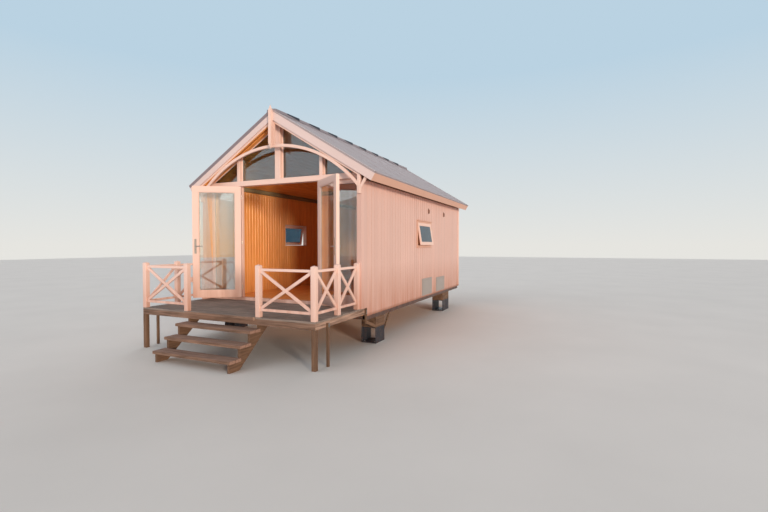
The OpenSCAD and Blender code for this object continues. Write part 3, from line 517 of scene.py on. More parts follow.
def faces_front(face):
    """Whether a face looks to the front of the hut."""
    return face.normal.y < -0.7


def add_loops(bm, loops, closed):
    """Joins rings of points with faces, and either closes the last to the first or caps both ends."""
    rings = [[bm.verts.new(p) for p in loop] for loop in loops]
    for a, b in zip(rings, rings[1:] + rings[:1] if closed else rings[1:]):
        for i in range(len(a)):
            j = (i + 1) % len(a)
            bm.faces.new([a[i], a[j], b[j], b[i]])
    if not closed:
        bm.faces.new(rings[0][::-1])
        bm.faces.new(rings[-1])


def add_box(bm, low, high):
    """Adds a box between two corners."""
    ring = [(low[0], low[1]), (high[0], low[1]), (high[0], high[1]), (low[0], high[1])]
    add_loops(bm, [[(x, y, z) for x, y in ring] for z in (low[2], high[2])], False)


def add_strip(bm, sign, points, y0, y1):
    """Adds a strip that runs along one slope of the roof; each point is a distance down it and into it."""
    outline = [slope(*p) for p in points]
    add_loops(bm, [[(sign * x, y, z) for x, z in outline] for y in (y0, y1)], False)


def add_head(bm, kind, at, out):
    """Adds a fixing's head that stands on a surface and narrows towards its top."""
    radius, height, sides, top = HEADS[kind]
    where = Matrix.Translation(at) @ Vector(out).to_track_quat("Z", "Y").to_matrix().to_4x4()
    turns = [2 * math.pi * i / sides for i in range(sides)]
    loops = []
    for r, z in ((radius, 0.0), (radius, height * 0.5), (radius * top, height)):
        loops.append([where @ Vector((r * math.cos(a), r * math.sin(a), z)) for a in turns])
    add_loops(bm, loops, False)


def ease_edges(bm, width, segments=1):
    """Joins flat faces and rounds the sharp edges of a bmesh."""
    bmesh.ops.dissolve_limit(bm, angle_limit=math.radians(1), verts=bm.verts, edges=bm.edges)
    sharp = [e for e in bm.edges if len(e.link_faces) == 2 and e.calc_face_angle(0) > math.radians(25)]
    bmesh.ops.bevel(bm, geom=sharp, offset=width, segments=segments, affect="EDGES", clamp_overlap=True)


def cad_copy(node):
    """A bmesh of a CAD node with its doubles merged."""
    bm = bmesh.new()
    bm.from_mesh(frame["nodes"][node].data)
    bmesh.ops.remove_doubles(bm, verts=bm.verts, dist=1e-5)
    return bm


def below_soffit(point):
    """Distance of a point below the roof deck's underside, measured square to the slope."""
    return (soffit_z(point.x) - point.z) * math.cos(PITCH)


def cut_rakes(bm, depth):
    """Cuts faces where they pass a depth below the roof deck."""
    for sign in (-1, 1):
        parts = [*bm.verts, *bm.edges, *bm.faces]
        across = (sign * math.sin(PITCH), 0.0, math.cos(PITCH))
        top = (0.0, 0.0, soffit_z(0.0) - depth / math.cos(PITCH))
        bmesh.ops.bisect_plane(bm, geom=parts, plane_co=top, plane_no=across)


def islands(bm):
    """The vertices of each separate solid of a bmesh, in order of place."""
    left = set(bm.verts)
    found = []
    for start in bm.verts:
        if start not in left:
            continue
        left.discard(start)
        group = [start]
        for v in group:
            for near in (e.other_vert(v) for e in v.link_edges):
                if near in left:
                    left.discard(near)
                    group.append(near)
        found.append(group)
    return sorted(found, key=lambda g: [round(sum(v.co[k] for v in g) / len(g), 3) for k in range(3)])


def solid_boxes(node):
    """The low and high corners of each separate solid of a CAD node."""
    bm = cad_copy(node)
    boxes = [
        tuple(Vector([pick(v.co[k] for v in group) for k in range(3)]) for pick in (min, max))
        for group in islands(bm)]
    bm.free()
    return boxes


def node_tree(name, sockets):
    """An empty Geometry Nodes tree with its inputs, and the sockets that they come from."""
    tree = bpy.data.node_groups.new(name, "GeometryNodeTree")
    for title, kind in {"Geometry": "Geometry", **sockets}.items():
        tree.interface.new_socket(title, in_out="INPUT", socket_type=f"NodeSocket{kind}")
    tree.interface.new_socket("Geometry", in_out="OUTPUT", socket_type="NodeSocketGeometry")
    return tree, add(tree, "NodeGroupInput").outputs


def rows_tree():
    """Geometry Nodes tree: copies of a piece in rows, each nudged a little, with one finish."""
    tree, given = node_tree("Rows of copies", {
        "Count": "Int", "Step": "Vector", "Rows": "Int", "Row step": "Vector", "Nudge": "Vector",
        "Finish": "Material"})
    line, rows = [
        add(tree, "GeometryNodeMeshLine", {"Count": given[count], "Offset": given[step]}, mode="OFFSET")
        for count, step in (("Count", "Step"), ("Rows", "Row step"))]
    grid = add(tree, "GeometryNodeInstanceOnPoints", {"Points": rows, "Instance": line})
    spots = add(tree, "GeometryNodeRealizeInstances", {"Geometry": grid})
    back = add(tree, "ShaderNodeVectorMath", {0: given["Nudge"], "Scale": -1.0}, operation="SCALE")
    chance = add(tree, "FunctionNodeRandomValue", {
        "Min": back, "Max": given["Nudge"], "Seed": 11}, data_type="FLOAT_VECTOR")
    points = add(tree, "GeometryNodeSetPosition", {"Geometry": spots, "Offset": chance})
    copies = add(tree, "GeometryNodeInstanceOnPoints", {"Points": points, "Instance": given["Geometry"]})
    real = add(tree, "GeometryNodeRealizeInstances", {"Geometry": copies})
    done = add(tree, "GeometryNodeSetMaterial", {"Geometry": real, "Material": given["Finish"]})
    add(tree, "NodeGroupOutput", {0: done})
    return tree


def grooves_tree():
    """Geometry Nodes tree: cuts a row of V grooves into a piece, as between tongued boards."""
    tree, given = node_tree("Board grooves", {
        "Count": "Int", "First": "Vector", "Step": "Vector", "Turn": "Vector", "Groove": "Vector",
        "Finish": "Material"})
    line = add(tree, "GeometryNodeMeshLine", {
        "Count": given["Count"], "Start Location": given["First"], "Offset": given["Step"]}, mode="OFFSET")
    bar = add(tree, "GeometryNodeMeshCube", {"Size": given["Groove"]})
    turned = add(tree, "GeometryNodeTransform", {"Geometry": bar, "Rotation": given["Turn"]})
    bars = add(tree, "GeometryNodeInstanceOnPoints", {"Points": line, "Instance": turned})
    real = add(tree, "GeometryNodeRealizeInstances", {"Geometry": bars})
    cut = add(tree, "GeometryNodeMeshBoolean", {
        "Mesh 1": given["Geometry"], "Mesh 2": real}, operation="DIFFERENCE", solver="EXACT")
    done = add(tree, "GeometryNodeSetMaterial", {"Geometry": cut, "Material": given["Finish"]})
    add(tree, "NodeGroupOutput", {0: done})
    return tree


TREES = {}


def run_tree(mesh, maker, **values):
    """Runs a Geometry Nodes tree on a mesh with its named inputs; gives the plain mesh that it makes."""
    if maker not in TREES:
        TREES[maker] = maker()
    tree = TREES[maker]
    work = bpy.data.objects.new("work", mesh)
    bpy.context.scene.collection.objects.link(work)
    modifier = work.modifiers.new(tree.name, "NODES")
    modifier.node_group = tree
    for item in tree.interface.items_tree:
        if item.item_type == "SOCKET" and item.in_out == "INPUT" and item.name in values:
            modifier[item.identifier] = values[item.name]
    graph = bpy.context.evaluated_depsgraph_get()
    made = bpy.data.meshes.new_from_object(work.evaluated_get(graph), depsgraph=graph)
    work.modifiers.remove(modifier)
    bpy.data.objects.remove(work)
    if not made.polygons:
        raise RuntimeError(f"{tree.name} made nothing")
    return made


def in_rows(mesh, key, count, step, rows=1, row_step=(0.0, 0.0, 0.0), nudge=(0.0, 0.0, 0.0)):
    """Copies of a mesh a step apart, in rows a row step apart, each nudged by up to a distance."""
    values = {"Count": count, "Step": step, "Rows": rows, "Row step": row_step, "Nudge": nudge}
    return run_tree(mesh, rows_tree, **values, Finish=finish_for(key))


def grooved(mesh, key, first, last, pitch, along, groove, turn):
    """Cuts grooves a pitch apart between two points of the middle of a face; they run along an axis."""
    first, last = Vector(first), Vector(last)
    span = (last - first).length
    count = max(int(span / pitch), 1)
    step = (last - first).normalized() * pitch
    size = [groove / math.sqrt(2)] * 3
    size["xyz".index(along)] = BAR_L
    start = first + step * ((span / pitch - count) / 2 + 0.5)
    values = {"Count": count, "First": start, "Step": step, "Turn": turn, "Groove": size}
    return run_tree(mesh, grooves_tree, **values, Finish=finish_for(key))


class HUT_OT_trim(bpy.types.Operator):
    """Ease the edges of the painted, sawn and steel pieces and finish them"""

    bl_idname = "hut.trim"
    bl_label = "Trim and underframe"

    pieces = {
        ("paint x", "white_timber"): [
            "front_sill", "transom", "gable_frame", "gable_truss", "arch_brace", "front_rail_panels"],
        ("barge", "white_timber"): ["left_bargeboards", "right_bargeboards"],
        # These side-facing boards take the darker, warmer copy of the trim paint: painted light
        ("side_lit_trim", "white_timber"): ["eaves_fascias", "window_casings"],
        ("paint y", "white_timber"): ["side_rail_panels", "window_sashes"],
        ("paint z", "white_timber"): [
            "door_posts", "king_post", "sidelight_frames", "finial", "pendant_posts", "balustrade_posts"],
        ("plate", "pine"): ["wall_plates"],
        ("rim", "deck_timber"): ["deck_frame"],
        ("legs", "brown_timber"): ["deck_legs"],
        ("timber", "brown_timber"): ["stair_stringers", "underframe_braces"],
        ("runner", "dark_steel"): ["floor_runners", "cross_beams"],
        ("steel", "dark_steel"): ["support_feet"],
        ("hatch", "hatch_panel"): ["service_hatches"],
    }

    # Pieces with raking rails of bare varnished pine: the rails' depth, and how far up their bare faces look
    rakes = {"gable_frame": (0.085, 1.0), "gable_truss": (0.090, -0.5)}
    # Pieces with crisper edges than the rest
    sharp = {
        "finial": 0.15, "service_hatches": 0.4, "floor_runners": 0.5, "cross_beams": 0.5, "support_feet": 0.5}
    # Nodes that stay as the frame has them, and their finishes
    kept = {
        # The wall vents' brown is painted shadow
        "wall_vents": "vent", "door_hinges": "metal", "left_door_handles": "metal",
        "right_door_handles": "metal"}

    def execute(self, context):
        sizes = context.scene.hut_sizes
        for (key, slot), nodes in self.pieces.items():
            for node in nodes:
                bm = cad_copy(node)
                ease_edges(bm, sizes.ease * self.sharp.get(node, 1.0))
                rake, up = self.rakes.get(node, (0.0, 0.0))
                if rake:
                    cut_rakes(bm, rake)
                mesh = finished_mesh(node, bm, key)
                if rake:
                    repaint(mesh, "rake", lambda f: (
                        below_soffit(f.center) < rake + TOLERANCE and abs(f.center.x) > KING_X
                        and f.normal.z < up))
                # Painted shade: the deck frame's front faces get the darker edge brown
                if node == "deck_frame":
                    repaint(mesh, "edge", faces_front)
                new_piece(f"finished_{node}", mesh, replaced=[node])
        for node, key in self.kept.items():
            mesh = frame["nodes"][node].data
            mesh.materials.clear()
            mesh.materials.append(finish_for(key))
        return {"FINISHED"}


class HUT_OT_walls(bpy.types.Operator):
    """Board the outer walls, line the room and lay its floor"""

    bl_idname = "hut.walls"
    bl_label = "Walls and floor"

    # Faces of a wall that are nearer its inner side than this are lining
    lining_t = 0.02

    def execute(self, context):
        sizes = context.scene.hut_sizes
        mid_z = (WALL_LOW.z + WALL_HIGH.z) / 2
        for side, sign in SIDES:
            ends = [[(sign * x, y, mid_z) for y in (FRONT_Y, WALL_HIGH.y)] for x in (WALL_HIGH.x, WALL_LOW.x)]
            self.board(f"{side}_wall", 0, WALL_HIGH.x, WALL_LOW.x, ends, sizes)
        mid_z = (BACK_LOW.z + BACK_HIGH.z) / 2
        ends = [[(x, y, mid_z) for x in (BACK_LOW.x, BACK_HIGH.x)] for y in (BACK_HIGH.y, BACK_LOW.y)]
        self.board("back_wall", 1, BACK_HIGH.y, BACK_LOW.y, ends, sizes)
        mesh = finished_mesh("floor_planks", cad_copy("floor"), "floor")
        ends = [(x, MID_Y, FLOOR_HIGH.z) for x in (FLOOR_LOW.x, FLOOR_HIGH.x)]
        fine = sizes.groove_w * FINE_GROOVE
        mesh = grooved(mesh, "floor", *ends, sizes.plank_w, "y", fine, (0.0, QUARTER, 0.0))
        new_piece("floor_planks", mesh, replaced=["floor"])
        self.corners(sizes)
        return {"FINISHED"}

    def board(self, node, axis, outer, inner, ends, sizes):
        """A wall with wide boards outside and narrow ones inside; the axis runs through its thickness."""
        across = "yx"[axis]
        cladding = f"cladding {across}"
        mesh = finished_mesh(f"{node}_boards", cad_copy(node), cladding)
        grooves = ((sizes.board_w, sizes.groove_w), (sizes.lining_w, sizes.groove_w * FINE_GROOVE))
        for (start, end), (pitch, groove) in zip(ends, grooves):
            mesh = grooved(mesh, cladding, start, end, pitch, "z", groove, (0.0, 0.0, QUARTER))
        repaint(mesh, f"lining {across}", lambda f: (
            abs(f.center[axis]) < inner + self.lining_t and f.center.y > FRONT_Y))
        repaint(mesh, f"joints {across}", lambda f: (
            abs(f.center[axis]) > outer - sizes.groove_w and 0.1 < abs(f.normal[axis]) < 0.9))
        new_piece(f"{node}_boards", mesh, replaced=[node])

    def corners(self, sizes):
        """Boards that cover both rear corners."""
        bm = bmesh.new()
        t = sizes.corner_t
        for sign in (-1, 1):
            for x0, x1, y0, y1 in (
                (WALL_HIGH.x, WALL_HIGH.x + t, BACK_HIGH.y - sizes.corner_w, BACK_HIGH.y + t),
                (WALL_HIGH.x - sizes.corner_w, WALL_HIGH.x, BACK_HIGH.y, BACK_HIGH.y + t),
            ):
                ring = [(sign * x0, y0), (sign * x1, y0), (sign * x1, y1), (sign * x0, y1)]
                foot = [(x, y, WALL_LOW.z) for x, y in ring]
                head = [(x, y, soffit_z(x) - sizes.ease) for x, y in ring]
                add_loops(bm, [foot, head], False)
        bmesh.ops.recalc_face_normals(bm, faces=bm.faces)
        ease_edges(bm, sizes.ease)
        new_solid("corner_boards", bm, "paint z")


class HUT_OT_roof(bpy.types.Operator):
    """Cover the roof, cap the ridge and line the underside"""

    bl_idname = "hut.roof"
    bl_label = "Roof"

    # Half the width of a lap, and how far below the ridge it starts
    half_lap, lap_top = 0.05, 0.1
    # How much narrower the ridge caps' flanges are than the frame's cap
    flange_inset = 0.02

    def execute(self, context):
        sizes = context.scene.hut_sizes
        for side, sign in SIDES:
            self.covering(side, sign, sizes)
            self.trim(side, sign, sizes)
            self.soffit(side, sign, sizes)
        self.caps(sizes)
        return {"FINISHED"}

    def covering(self, side, sign, sizes):
        """Strips of membrane up the slope, each lapped over the next."""
        t, top = sizes.lap_t, self.lap_top
        edge = EAVES_U - 2 * t
        sheet = [(0, 0), (EAVES_U, 0), (EAVES_U, SHEET_T), (SHEET_T * math.tan(PITCH), SHEET_T)]
        lap = [(top, -t), (edge, -t), (edge, 0), (top, 0)]
        bm = bmesh.new()
        add_strip(bm, sign, sheet, SHEET_LOW.y, SHEET_HIGH.y - t)
        y = SHEET_LOW.y + sizes.sheet_w
        while y < SHEET_HIGH.y - sizes.verge_w:
            add_strip(bm, sign, lap, y - self.half_lap, y + self.half_lap)
            y += sizes.sheet_w
        new_solid(f"{side}_roof_covering", bm, "roofing", replaced=[f"{side}_roof_sheet"])

    def trim(self, side, sign, sizes):
        """Metal strips along both verges, and the membrane's edges folded down under them."""
        t = sizes.lap_t
        edge = EAVES_U - 3 * t
        top = [(0, -2 * t), (edge, -2 * t), (edge, -t), (0, -t)]
        strips, folds = bmesh.new(), bmesh.new()
        front_drop = sizes.fold_w if sign < 0 else SHEET_T
        for outer, inner, drop in ((SHEET_LOW.y, 1, front_drop), (SHEET_HIGH.y - t, -1, SHEET_T)):
            fold = [(0, -t), (edge, -t), (edge, drop), (drop * math.tan(PITCH), drop)]
            rim = outer - inner * t
            add_strip(strips, sign, top, rim, outer + inner * sizes.verge_w)
            add_strip(folds, sign, fold, rim, outer)
        new_solid(f"{side}_verge_trim", strips, "verge")
        # Painted shade: the left fold is darker than the right one, which has the trim's tone
        new_solid(f"{side}_verge_fold", folds, "fold" if sign < 0 else "verge")

    def soffit(self, side, sign, sizes):
        """Boards along the underside of the roof deck."""
        mesh = finished_mesh(f"{side}_roof_boards", cad_copy(f"{side}_roof_deck"), "soffit")
        ends = [(sign * x, MID_Y, soffit_z(x)) for x in (0.0, SOFFIT.x)]
        groove = sizes.groove_w * SOFFIT_GROOVE
        mesh = grooved(mesh, "soffit", *ends, sizes.lining_w, "y", groove, (0.0, sign * PITCH + QUARTER, 0.0))
        new_piece(f"{side}_roof_boards", mesh, replaced=[f"{side}_roof_deck"])

    def caps(self, sizes):
        """Ridge caps in lengths, whose upright sides and dark vents grow towards the rear end of each."""
        low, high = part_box("ridge_cap")
        t = sizes.lap_t
        count = int((high.y - low.y) / sizes.cap_l)
        pitch = (high.y - low.y) / count
        over = (high.z - RIDGE_Z) * math.cos(PITCH)
        flange = high.x / math.cos(PITCH) - self.flange_inset
        foot = high.z - sizes.cap_w * math.tan(PITCH)
        crown = RIDGE_Z + 2 * t

        def side_top(along):
            """Height of a cap's upright side at a distance along it."""
            return foot + (crown - t - foot) * (sizes.cap_front + (1 - sizes.cap_front) * along / pitch)

        rings = []
        for along in (0.0, pitch - t):
            right = [
                (sizes.cap_w, side_top(along)), (sizes.cap_w, foot),
                slope(flange, -over), slope(flange, -t), slope(0, -t)]
            ring = [(0, crown), *right, *[(-x, z) for x, z in right[-2::-1]]]
            rings.append([(x, low.y + along, z) for x, z in ring])
        bm = bmesh.new()
        add_loops(bm, rings, False)
        new_rows("ridge_caps", bm, "cap", "roofing", count, (0.0, pitch, 0.0), ["ridge_cap"])
        far = pitch - 2 * t
        near = far - sizes.vent_l
        neck = side_top(near) - (side_top(near) - foot) * sizes.vent_front
        ring = [(near, side_top(near)), (far, side_top(far)), (far, foot), (near, neck)]
        bm = bmesh.new()
        wide = sizes.cap_w + t
        add_loops(bm, [[(x, low.y + y, z) for y, z in ring] for x in (-wide, wide)], False)
        # Painted shade: the vents are near-black for the shade inside their slots
        new_rows("ridge_vents", bm, "ridge", "vent_plastic", count - 1, (0.0, pitch, 0.0))


def deck_courses(sizes):
    """The number of planks in the deck, and the distance from one to the next."""
    depth = DECK_HIGH.y - DECK_LOW.y
    count = round(depth / (sizes.plank_w + sizes.plank_gap))
    return count, (depth + sizes.plank_gap) / count


class HUT_OT_deck(bpy.types.Operator):
    """Lay the deck planks and the treads, and stack the sleepers"""

    bl_idname = "hut.deck"
    bl_label = "Deck, steps and sleepers"

    def execute(self, context):
        sizes = context.scene.hut_sizes
        count, pitch = deck_courses(sizes)
        bm = bmesh.new()
        add_box(bm, DECK_LOW, (DECK_HIGH.x, DECK_LOW.y + pitch - sizes.plank_gap, DECK_HIGH.z))
        ease_edges(bm, sizes.ease, 2)
        new_rows(
            "deck_planks", bm, "deck", "deck_timber", count, (0.0, pitch, 0.0), ["deck_boards"],
            nudge=(0.002, 0.0, 0.0))
        self.treads(sizes)
        self.sleepers(sizes)
        return {"FINISHED"}

    def treads(self, sizes):
        """Each tread is two planks, and the nosing is one."""
        bm = bmesh.new()
        for low, high in solid_boxes("stair_treads"):
            if high.z > DECK_HIGH.z - sizes.ease:
                add_box(bm, low, high)
                continue
            half = (high.y - low.y - sizes.plank_gap) / 2
            add_box(bm, low, (high.x, low.y + half, high.z))
            add_box(bm, (low.x, high.y - half, low.z), high)
        ease_edges(bm, sizes.ease, 2)
        mesh = finished_mesh("stair_planks", bm, "treads")
        repaint(mesh, "nosing", lambda f: f.center.z > DECK_LOW.z - sizes.plank_w / 2)
        # Painted shade: the planks' front faces get the darker edge brown
        repaint(mesh, "edge", faces_front)
        new_piece("stair_planks", mesh, replaced=["stair_treads"])

    def sleepers(self, sizes):
        """Two courses of sleepers in each block, the upper across the lower."""
        bm = bmesh.new()
        for low, high in solid_boxes("support_blocks"):
            mid_z = (low.z + high.z) / 2
            for axis, z0, z1 in ((0, low.z, mid_z), (1, mid_z, high.z)):
                count = max(round((high[axis] - low[axis]) / sizes.sleeper_w), 1)
                pitch = (high[axis] - low[axis] + sizes.ease) / count
                for i in range(count):
                    near, far = Vector((low.x, low.y, z0)), Vector((high.x, high.y, z1))
                    near[axis] = low[axis] + i * pitch
                    far[axis] = near[axis] + pitch - sizes.ease
                    add_box(bm, near, far)
        ease_edges(bm, sizes.ease, 2)
        new_solid("sleeper_stacks", bm, "timber", replaced=["support_blocks"])


def inset(outline, out, width):
    """A convex outline moved inwards in its own plane; out is the way that the plane faces."""
    edges = [(outline[(i + 1) % len(outline)] - p).normalized() for i, p in enumerate(outline)]
    inward = [out.cross(e) for e in edges]
    return [
        p + (inward[i - 1] + inward[i]) * width / (1 + inward[i - 1].dot(inward[i]))
        for i, p in enumerate(outline)]


def add_frame(bm, outline, out, profile):
    """Sweeps a profile round an outline; the profile's points are a distance inwards and a depth."""
    add_loops(bm, [[p - out * depth for p in inset(outline, out, width)] for width, depth in profile], True)


def pane_outlines(node):
    """The outline, the direction and the thickness of each pane of a glazed node."""
    bm = cad_copy(node)
    bmesh.ops.dissolve_limit(bm, angle_limit=math.radians(0.5), verts=bm.verts, edges=bm.edges)
    found = []
    for group in islands(bm):
        # A pane's two faces are of one size, so the way that they look decides, the same each run
        faces = {f for v in group for f in v.link_faces}
        face = max(faces, key=lambda f: (round(f.calc_area(), 4), *(-round(c, 3) for c in f.normal)))
        depths = [v.co.dot(face.normal) for v in group]
        found.append(([v.co.copy() for v in face.verts], face.normal.copy(), max(depths) - min(depths)))
    bm.free()
    return found


class HUT_OT_glazing(bpy.types.Operator):
    """Double panes with a spacer between them, and beads round both faces"""

    bl_idname = "hut.glazing"
    bl_label = "Glazing"

    # Each glazed node: its body, its paint, its glass, and how far its beads stand out from the glass
    panes = {
        "gable_glass": ("hut", "paint x", "grey glass", 0.012),
        "sidelight_glass": ("hut", "paint z", "glass", 0.010),
        "window_glass": ("hut", "paint y", "acrylic", 0.004),
        "left_door_glass": ("left_door", "paint z", "glass", 0.012),
        "right_door_glass": ("right_door", "paint z", "glass", 0.012),
    }
    # A bead's lip as a share of how far it stands out, and its crown as a share of its width
    lip_share, crown_share = 0.4, 0.6

    def execute(self, context):
        sizes = context.scene.hut_sizes
        for node, (body, paint, pane, stand) in self.panes.items():
            glass, spacers, beads = bmesh.new(), bmesh.new(), bmesh.new()
            for outline, out, thick in pane_outlines(node):
                near, far = sizes.pane_t, thick - sizes.pane_t
                for d0, d1 in ((0.0, near), (far, thick)):
                    add_loops(glass, [[p - out * d for p in outline] for d in (d1, d0)], False)
                w = sizes.spacer_w
                add_frame(spacers, outline, out, [(0, near), (w, near), (w, far), (0, far)])
                w = sizes.bead_w
                for depth, way in ((0.0, 1), (thick, -1)):
                    lip, crown = depth - way * stand * self.lip_share, depth - way * stand
                    bead = [(0, depth), (w, depth), (w, lip), (w * self.crown_share, crown), (0, crown)]
                    add_frame(beads, outline, out, bead)
            name = node.replace("_glass", "")
            new_solid(f"{name}_double_panes", glass, pane, body, [node])
            new_solid(f"{name}_spacers", spacers, "zinc", body)
            new_solid(f"{name}_beads", beads, paint, body)
        return {"FINISHED"}


class HUT_OT_doors(bpy.types.Operator):
    """Ease the door leaves, and give them their lock cylinders and screws"""

    bl_idname = "hut.doors"
    bl_label = "Doors"

    # Everything on a leaf that is nearer its hinge pins than this is a knuckle
    knuckle = 0.0105
    # Width of the strip along a leaf's free edge where its faces are measured
    free_edge = 0.05
    # Distance of the screws from the ends of a handle's plate, and how far up it the lock sits
    screw_inset, lock_share = 0.02, 0.28

    def execute(self, context):
        sizes = context.scene.hut_sizes
        for side, _ in SIDES:
            _, out, _ = pane_outlines(f"{side}_door_glass")[0]
            pin = self.pin(side)
            near, far = self.leaf_faces(f"{side}_door_frame", out, pin)
            bm = cad_copy(f"{side}_door_frame")
            ease_edges(bm, sizes.ease)
            mesh = finished_mesh(f"{side}_door_leaf", bm, "paint z")
            repaint(mesh, "metal", lambda f: (
                not near - TOLERANCE < f.center.dot(out) < far + TOLERANCE
                or self.reach(f.center, pin) < self.knuckle))
            new_piece(f"{side}_door_leaf", mesh, f"{side}_door", [f"{side}_door_frame"])
            self.lock(side, out)
        return {"FINISHED"}

    def pin(self, side):
        """A point on the hinge pins of a leaf."""
        return next(Vector(j["pos_m"]) for j in frame["joints"] if j["child"] == f"{side}_door")

    def reach(self, point, pin):
        """Distance of a point from the line of the hinge pins."""
        return math.hypot(point.x - pin.x, point.y - pin.y)

    def leaf_faces(self, node, out, pin):
        """Depths of a leaf's two faces, measured at the edge that is far from its hinges."""
        verts = [v.co for v in frame["nodes"][node].data.vertices]
        edge = max(self.reach(v, pin) for v in verts) - self.free_edge
        flat = [v.dot(out) for v in verts if self.reach(v, pin) > edge]
        return min(flat), max(flat)

    def lock(self, side, out):
        """A lock cylinder below each lever, and a screw at both ends of each handle plate."""
        across = out.cross(UP)
        verts = [v.co for v in frame["nodes"][f"{side}_door_handles"].data.vertices]
        top = max(v.z for v in verts)
        low = min(v.z for v in verts)
        plate = [v for v in verts if v.z > top - TOLERANCE]
        mid = sum(v.dot(across) for v in plate) / len(plate)
        depths = [v.dot(out) for v in plate]
        bm = bmesh.new()
        for depth, way in ((min(depths), -out), (max(depths), out)):
            middle = across * mid + out * depth
            for z in (low + self.screw_inset, top - self.screw_inset):
                add_head(bm, "plate screw", middle + UP * z, way)
            at = middle + UP * (low + (top - low) * self.lock_share)
            add_head(bm, "lock cylinder", at, way)
            add_head(bm, "keyway", at + way * HEADS["lock cylinder"][1], way)
        new_solid(f"{side}_door_lock", bm, "zinc", f"{side}_door")


class HUT_OT_windows(bpy.types.Operator):
    """Hang the open sashes on stays"""

    bl_idname = "hut.windows"
    bl_label = "Window stays"

    # How far a stay reaches into the room and stays behind the sash's face, and how far up the casing it lies
    reach_in, behind, foot_share = 0.02, 0.045, 0.115

    def execute(self, context):
        sizes = context.scene.hut_sizes
        half = sizes.stay_w / 2
        bm = bmesh.new()
        boxes = zip(solid_boxes("window_casings"), solid_boxes("window_sashes"))
        for (low, high), (sash_low, sash_high) in boxes:
            sign = 1 if low.x > 0 else -1
            inside = sign * (WALL_LOW.x + self.reach_in)
            outside = (sash_high.x if sign > 0 else sash_low.x) - sign * self.behind
            near, far = sorted((inside, outside))
            z = low.z + (high.z - low.z) * self.foot_share
            for share in (0.25, 0.75):
                y = sash_low.y + (sash_high.y - sash_low.y) * share
                add_box(bm, (near, y - half, z), (far, y + half, z + sizes.stay_t))
                add_head(bm, "stay pin", (inside, y, z), UP)
        new_solid("window_stays", bm, "zinc")
        return {"FINISHED"}


class HUT_OT_fixings(bpy.types.Operator):
    """Nail the cladding, screw down the planks and bolt the legs"""

    bl_idname = "hut.fixings"
    bl_label = "Nails, screws and bolts"

    # Height of the lowest nails over a wall's foot, and the height of wall outside the three rows
    nail_foot, nail_free = 0.06, 0.5
    # Rows of screws along the deck, and their distance from its sides
    joists, deck_inset = 7, 0.022
    # Legs that end further than this below the top of the deck's frame have no bolts
    leg_drop = 0.08
    # Distance of the bolts from the sides and the ends of a stand, and the thickness of its two plates
    foot_inset, plates = (0.045, 0.05), (0.012, 0.020)

    def execute(self, context):
        sizes = context.scene.hut_sizes
        self.nails(sizes)
        self.deck_screws(sizes)
        self.stair_screws()
        self.bolts()
        return {"FINISHED"}

    def nails(self, sizes):
        """Two painted nail heads a board, at three heights."""
        step = (WALL_HIGH.z - WALL_LOW.z - self.nail_free) / 2
        count = int((WALL_HIGH.y - FRONT_Y) / sizes.board_w)
        lead = ((WALL_HIGH.y - FRONT_Y) / sizes.board_w - count) / 2
        for side, sign in SIDES:
            bm = bmesh.new()
            for share in (0.25, 0.75):
                y = FRONT_Y + (lead + 0.5 + share) * sizes.board_w
                add_head(bm, "nail", (sign * WALL_HIGH.x, y, WALL_LOW.z + self.nail_foot), (sign, 0, 0))
            new_rows(
                f"{side}_wall_nails", bm, "cladding y", "white_timber", count - 1, (0.0, sizes.board_w, 0.0),
                rows=3, row_step=(0.0, 0.0, step), nudge=(0.0, 0.002, 0.004))

    def deck_screws(self, sizes):
        """Two screws at each joist in each deck plank."""
        count, pitch = deck_courses(sizes)
        near, far = DECK_LOW.x + self.deck_inset, DECK_HIGH.x - self.deck_inset
        bm = bmesh.new()
        for share in (0.2, 0.8):
            add_head(bm, "deck screw", (near, DECK_LOW.y + pitch * share, DECK_HIGH.z), UP)
        step = (far - near) / (self.joists - 1)
        new_rows(
            "deck_screws", bm, "zinc", "bright_steel", self.joists, (step, 0.0, 0.0),
            rows=count, row_step=(0.0, pitch, 0.0), nudge=(0.003, 0.003, 0.0))

    def stair_screws(self):
        """Screws down into both stringers, two in each plank of a tread."""
        middles = [(low.x + high.x) / 2 for low, high in solid_boxes("stair_stringers")]
        bm = bmesh.new()
        for low, high in solid_boxes("stair_treads"):
            for x in middles:
                for share in (0.12, 0.38, 0.62, 0.88):
                    add_head(bm, "deck screw", (x, low.y + (high.y - low.y) * share, high.z), UP)
        new_solid("stair_screws", bm, "zinc")

    def bolts(self):
        """Coach bolts with washers through the side legs, and from the stands into the sleepers."""
        spots = []
        rim_low, rim_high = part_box("deck_frame")
        for low, high in solid_boxes("deck_legs"):
            if high.z < rim_high.z - self.leg_drop:
                continue
            sign = 1 if low.x > 0 else -1
            x = high.x if sign > 0 else low.x
            for share in (0.28, 0.72):
                z = rim_low.z + (min(high.z, rim_high.z) - rim_low.z) * share
                spots.append(((x, (low.y + high.y) / 2, z), (sign, 0, 0)))
        side, end = self.foot_inset
        upper, lower = self.plates
        for low, high in solid_boxes("support_feet"):
            for x in (low.x + side, high.x - side):
                for y in (low.y + end, high.y - end):
                    spots.append(((x, y, high.z - upper), -UP))
                    spots.append(((x, y, low.z + lower), UP))
        bm = bmesh.new()
        for at, out in spots:
            add_head(bm, "washer", at, out)
            add_head(bm, "coach bolt", Vector(at) + Vector(out) * HEADS["washer"][1], out)
        new_solid("coach_bolts", bm, "zinc")


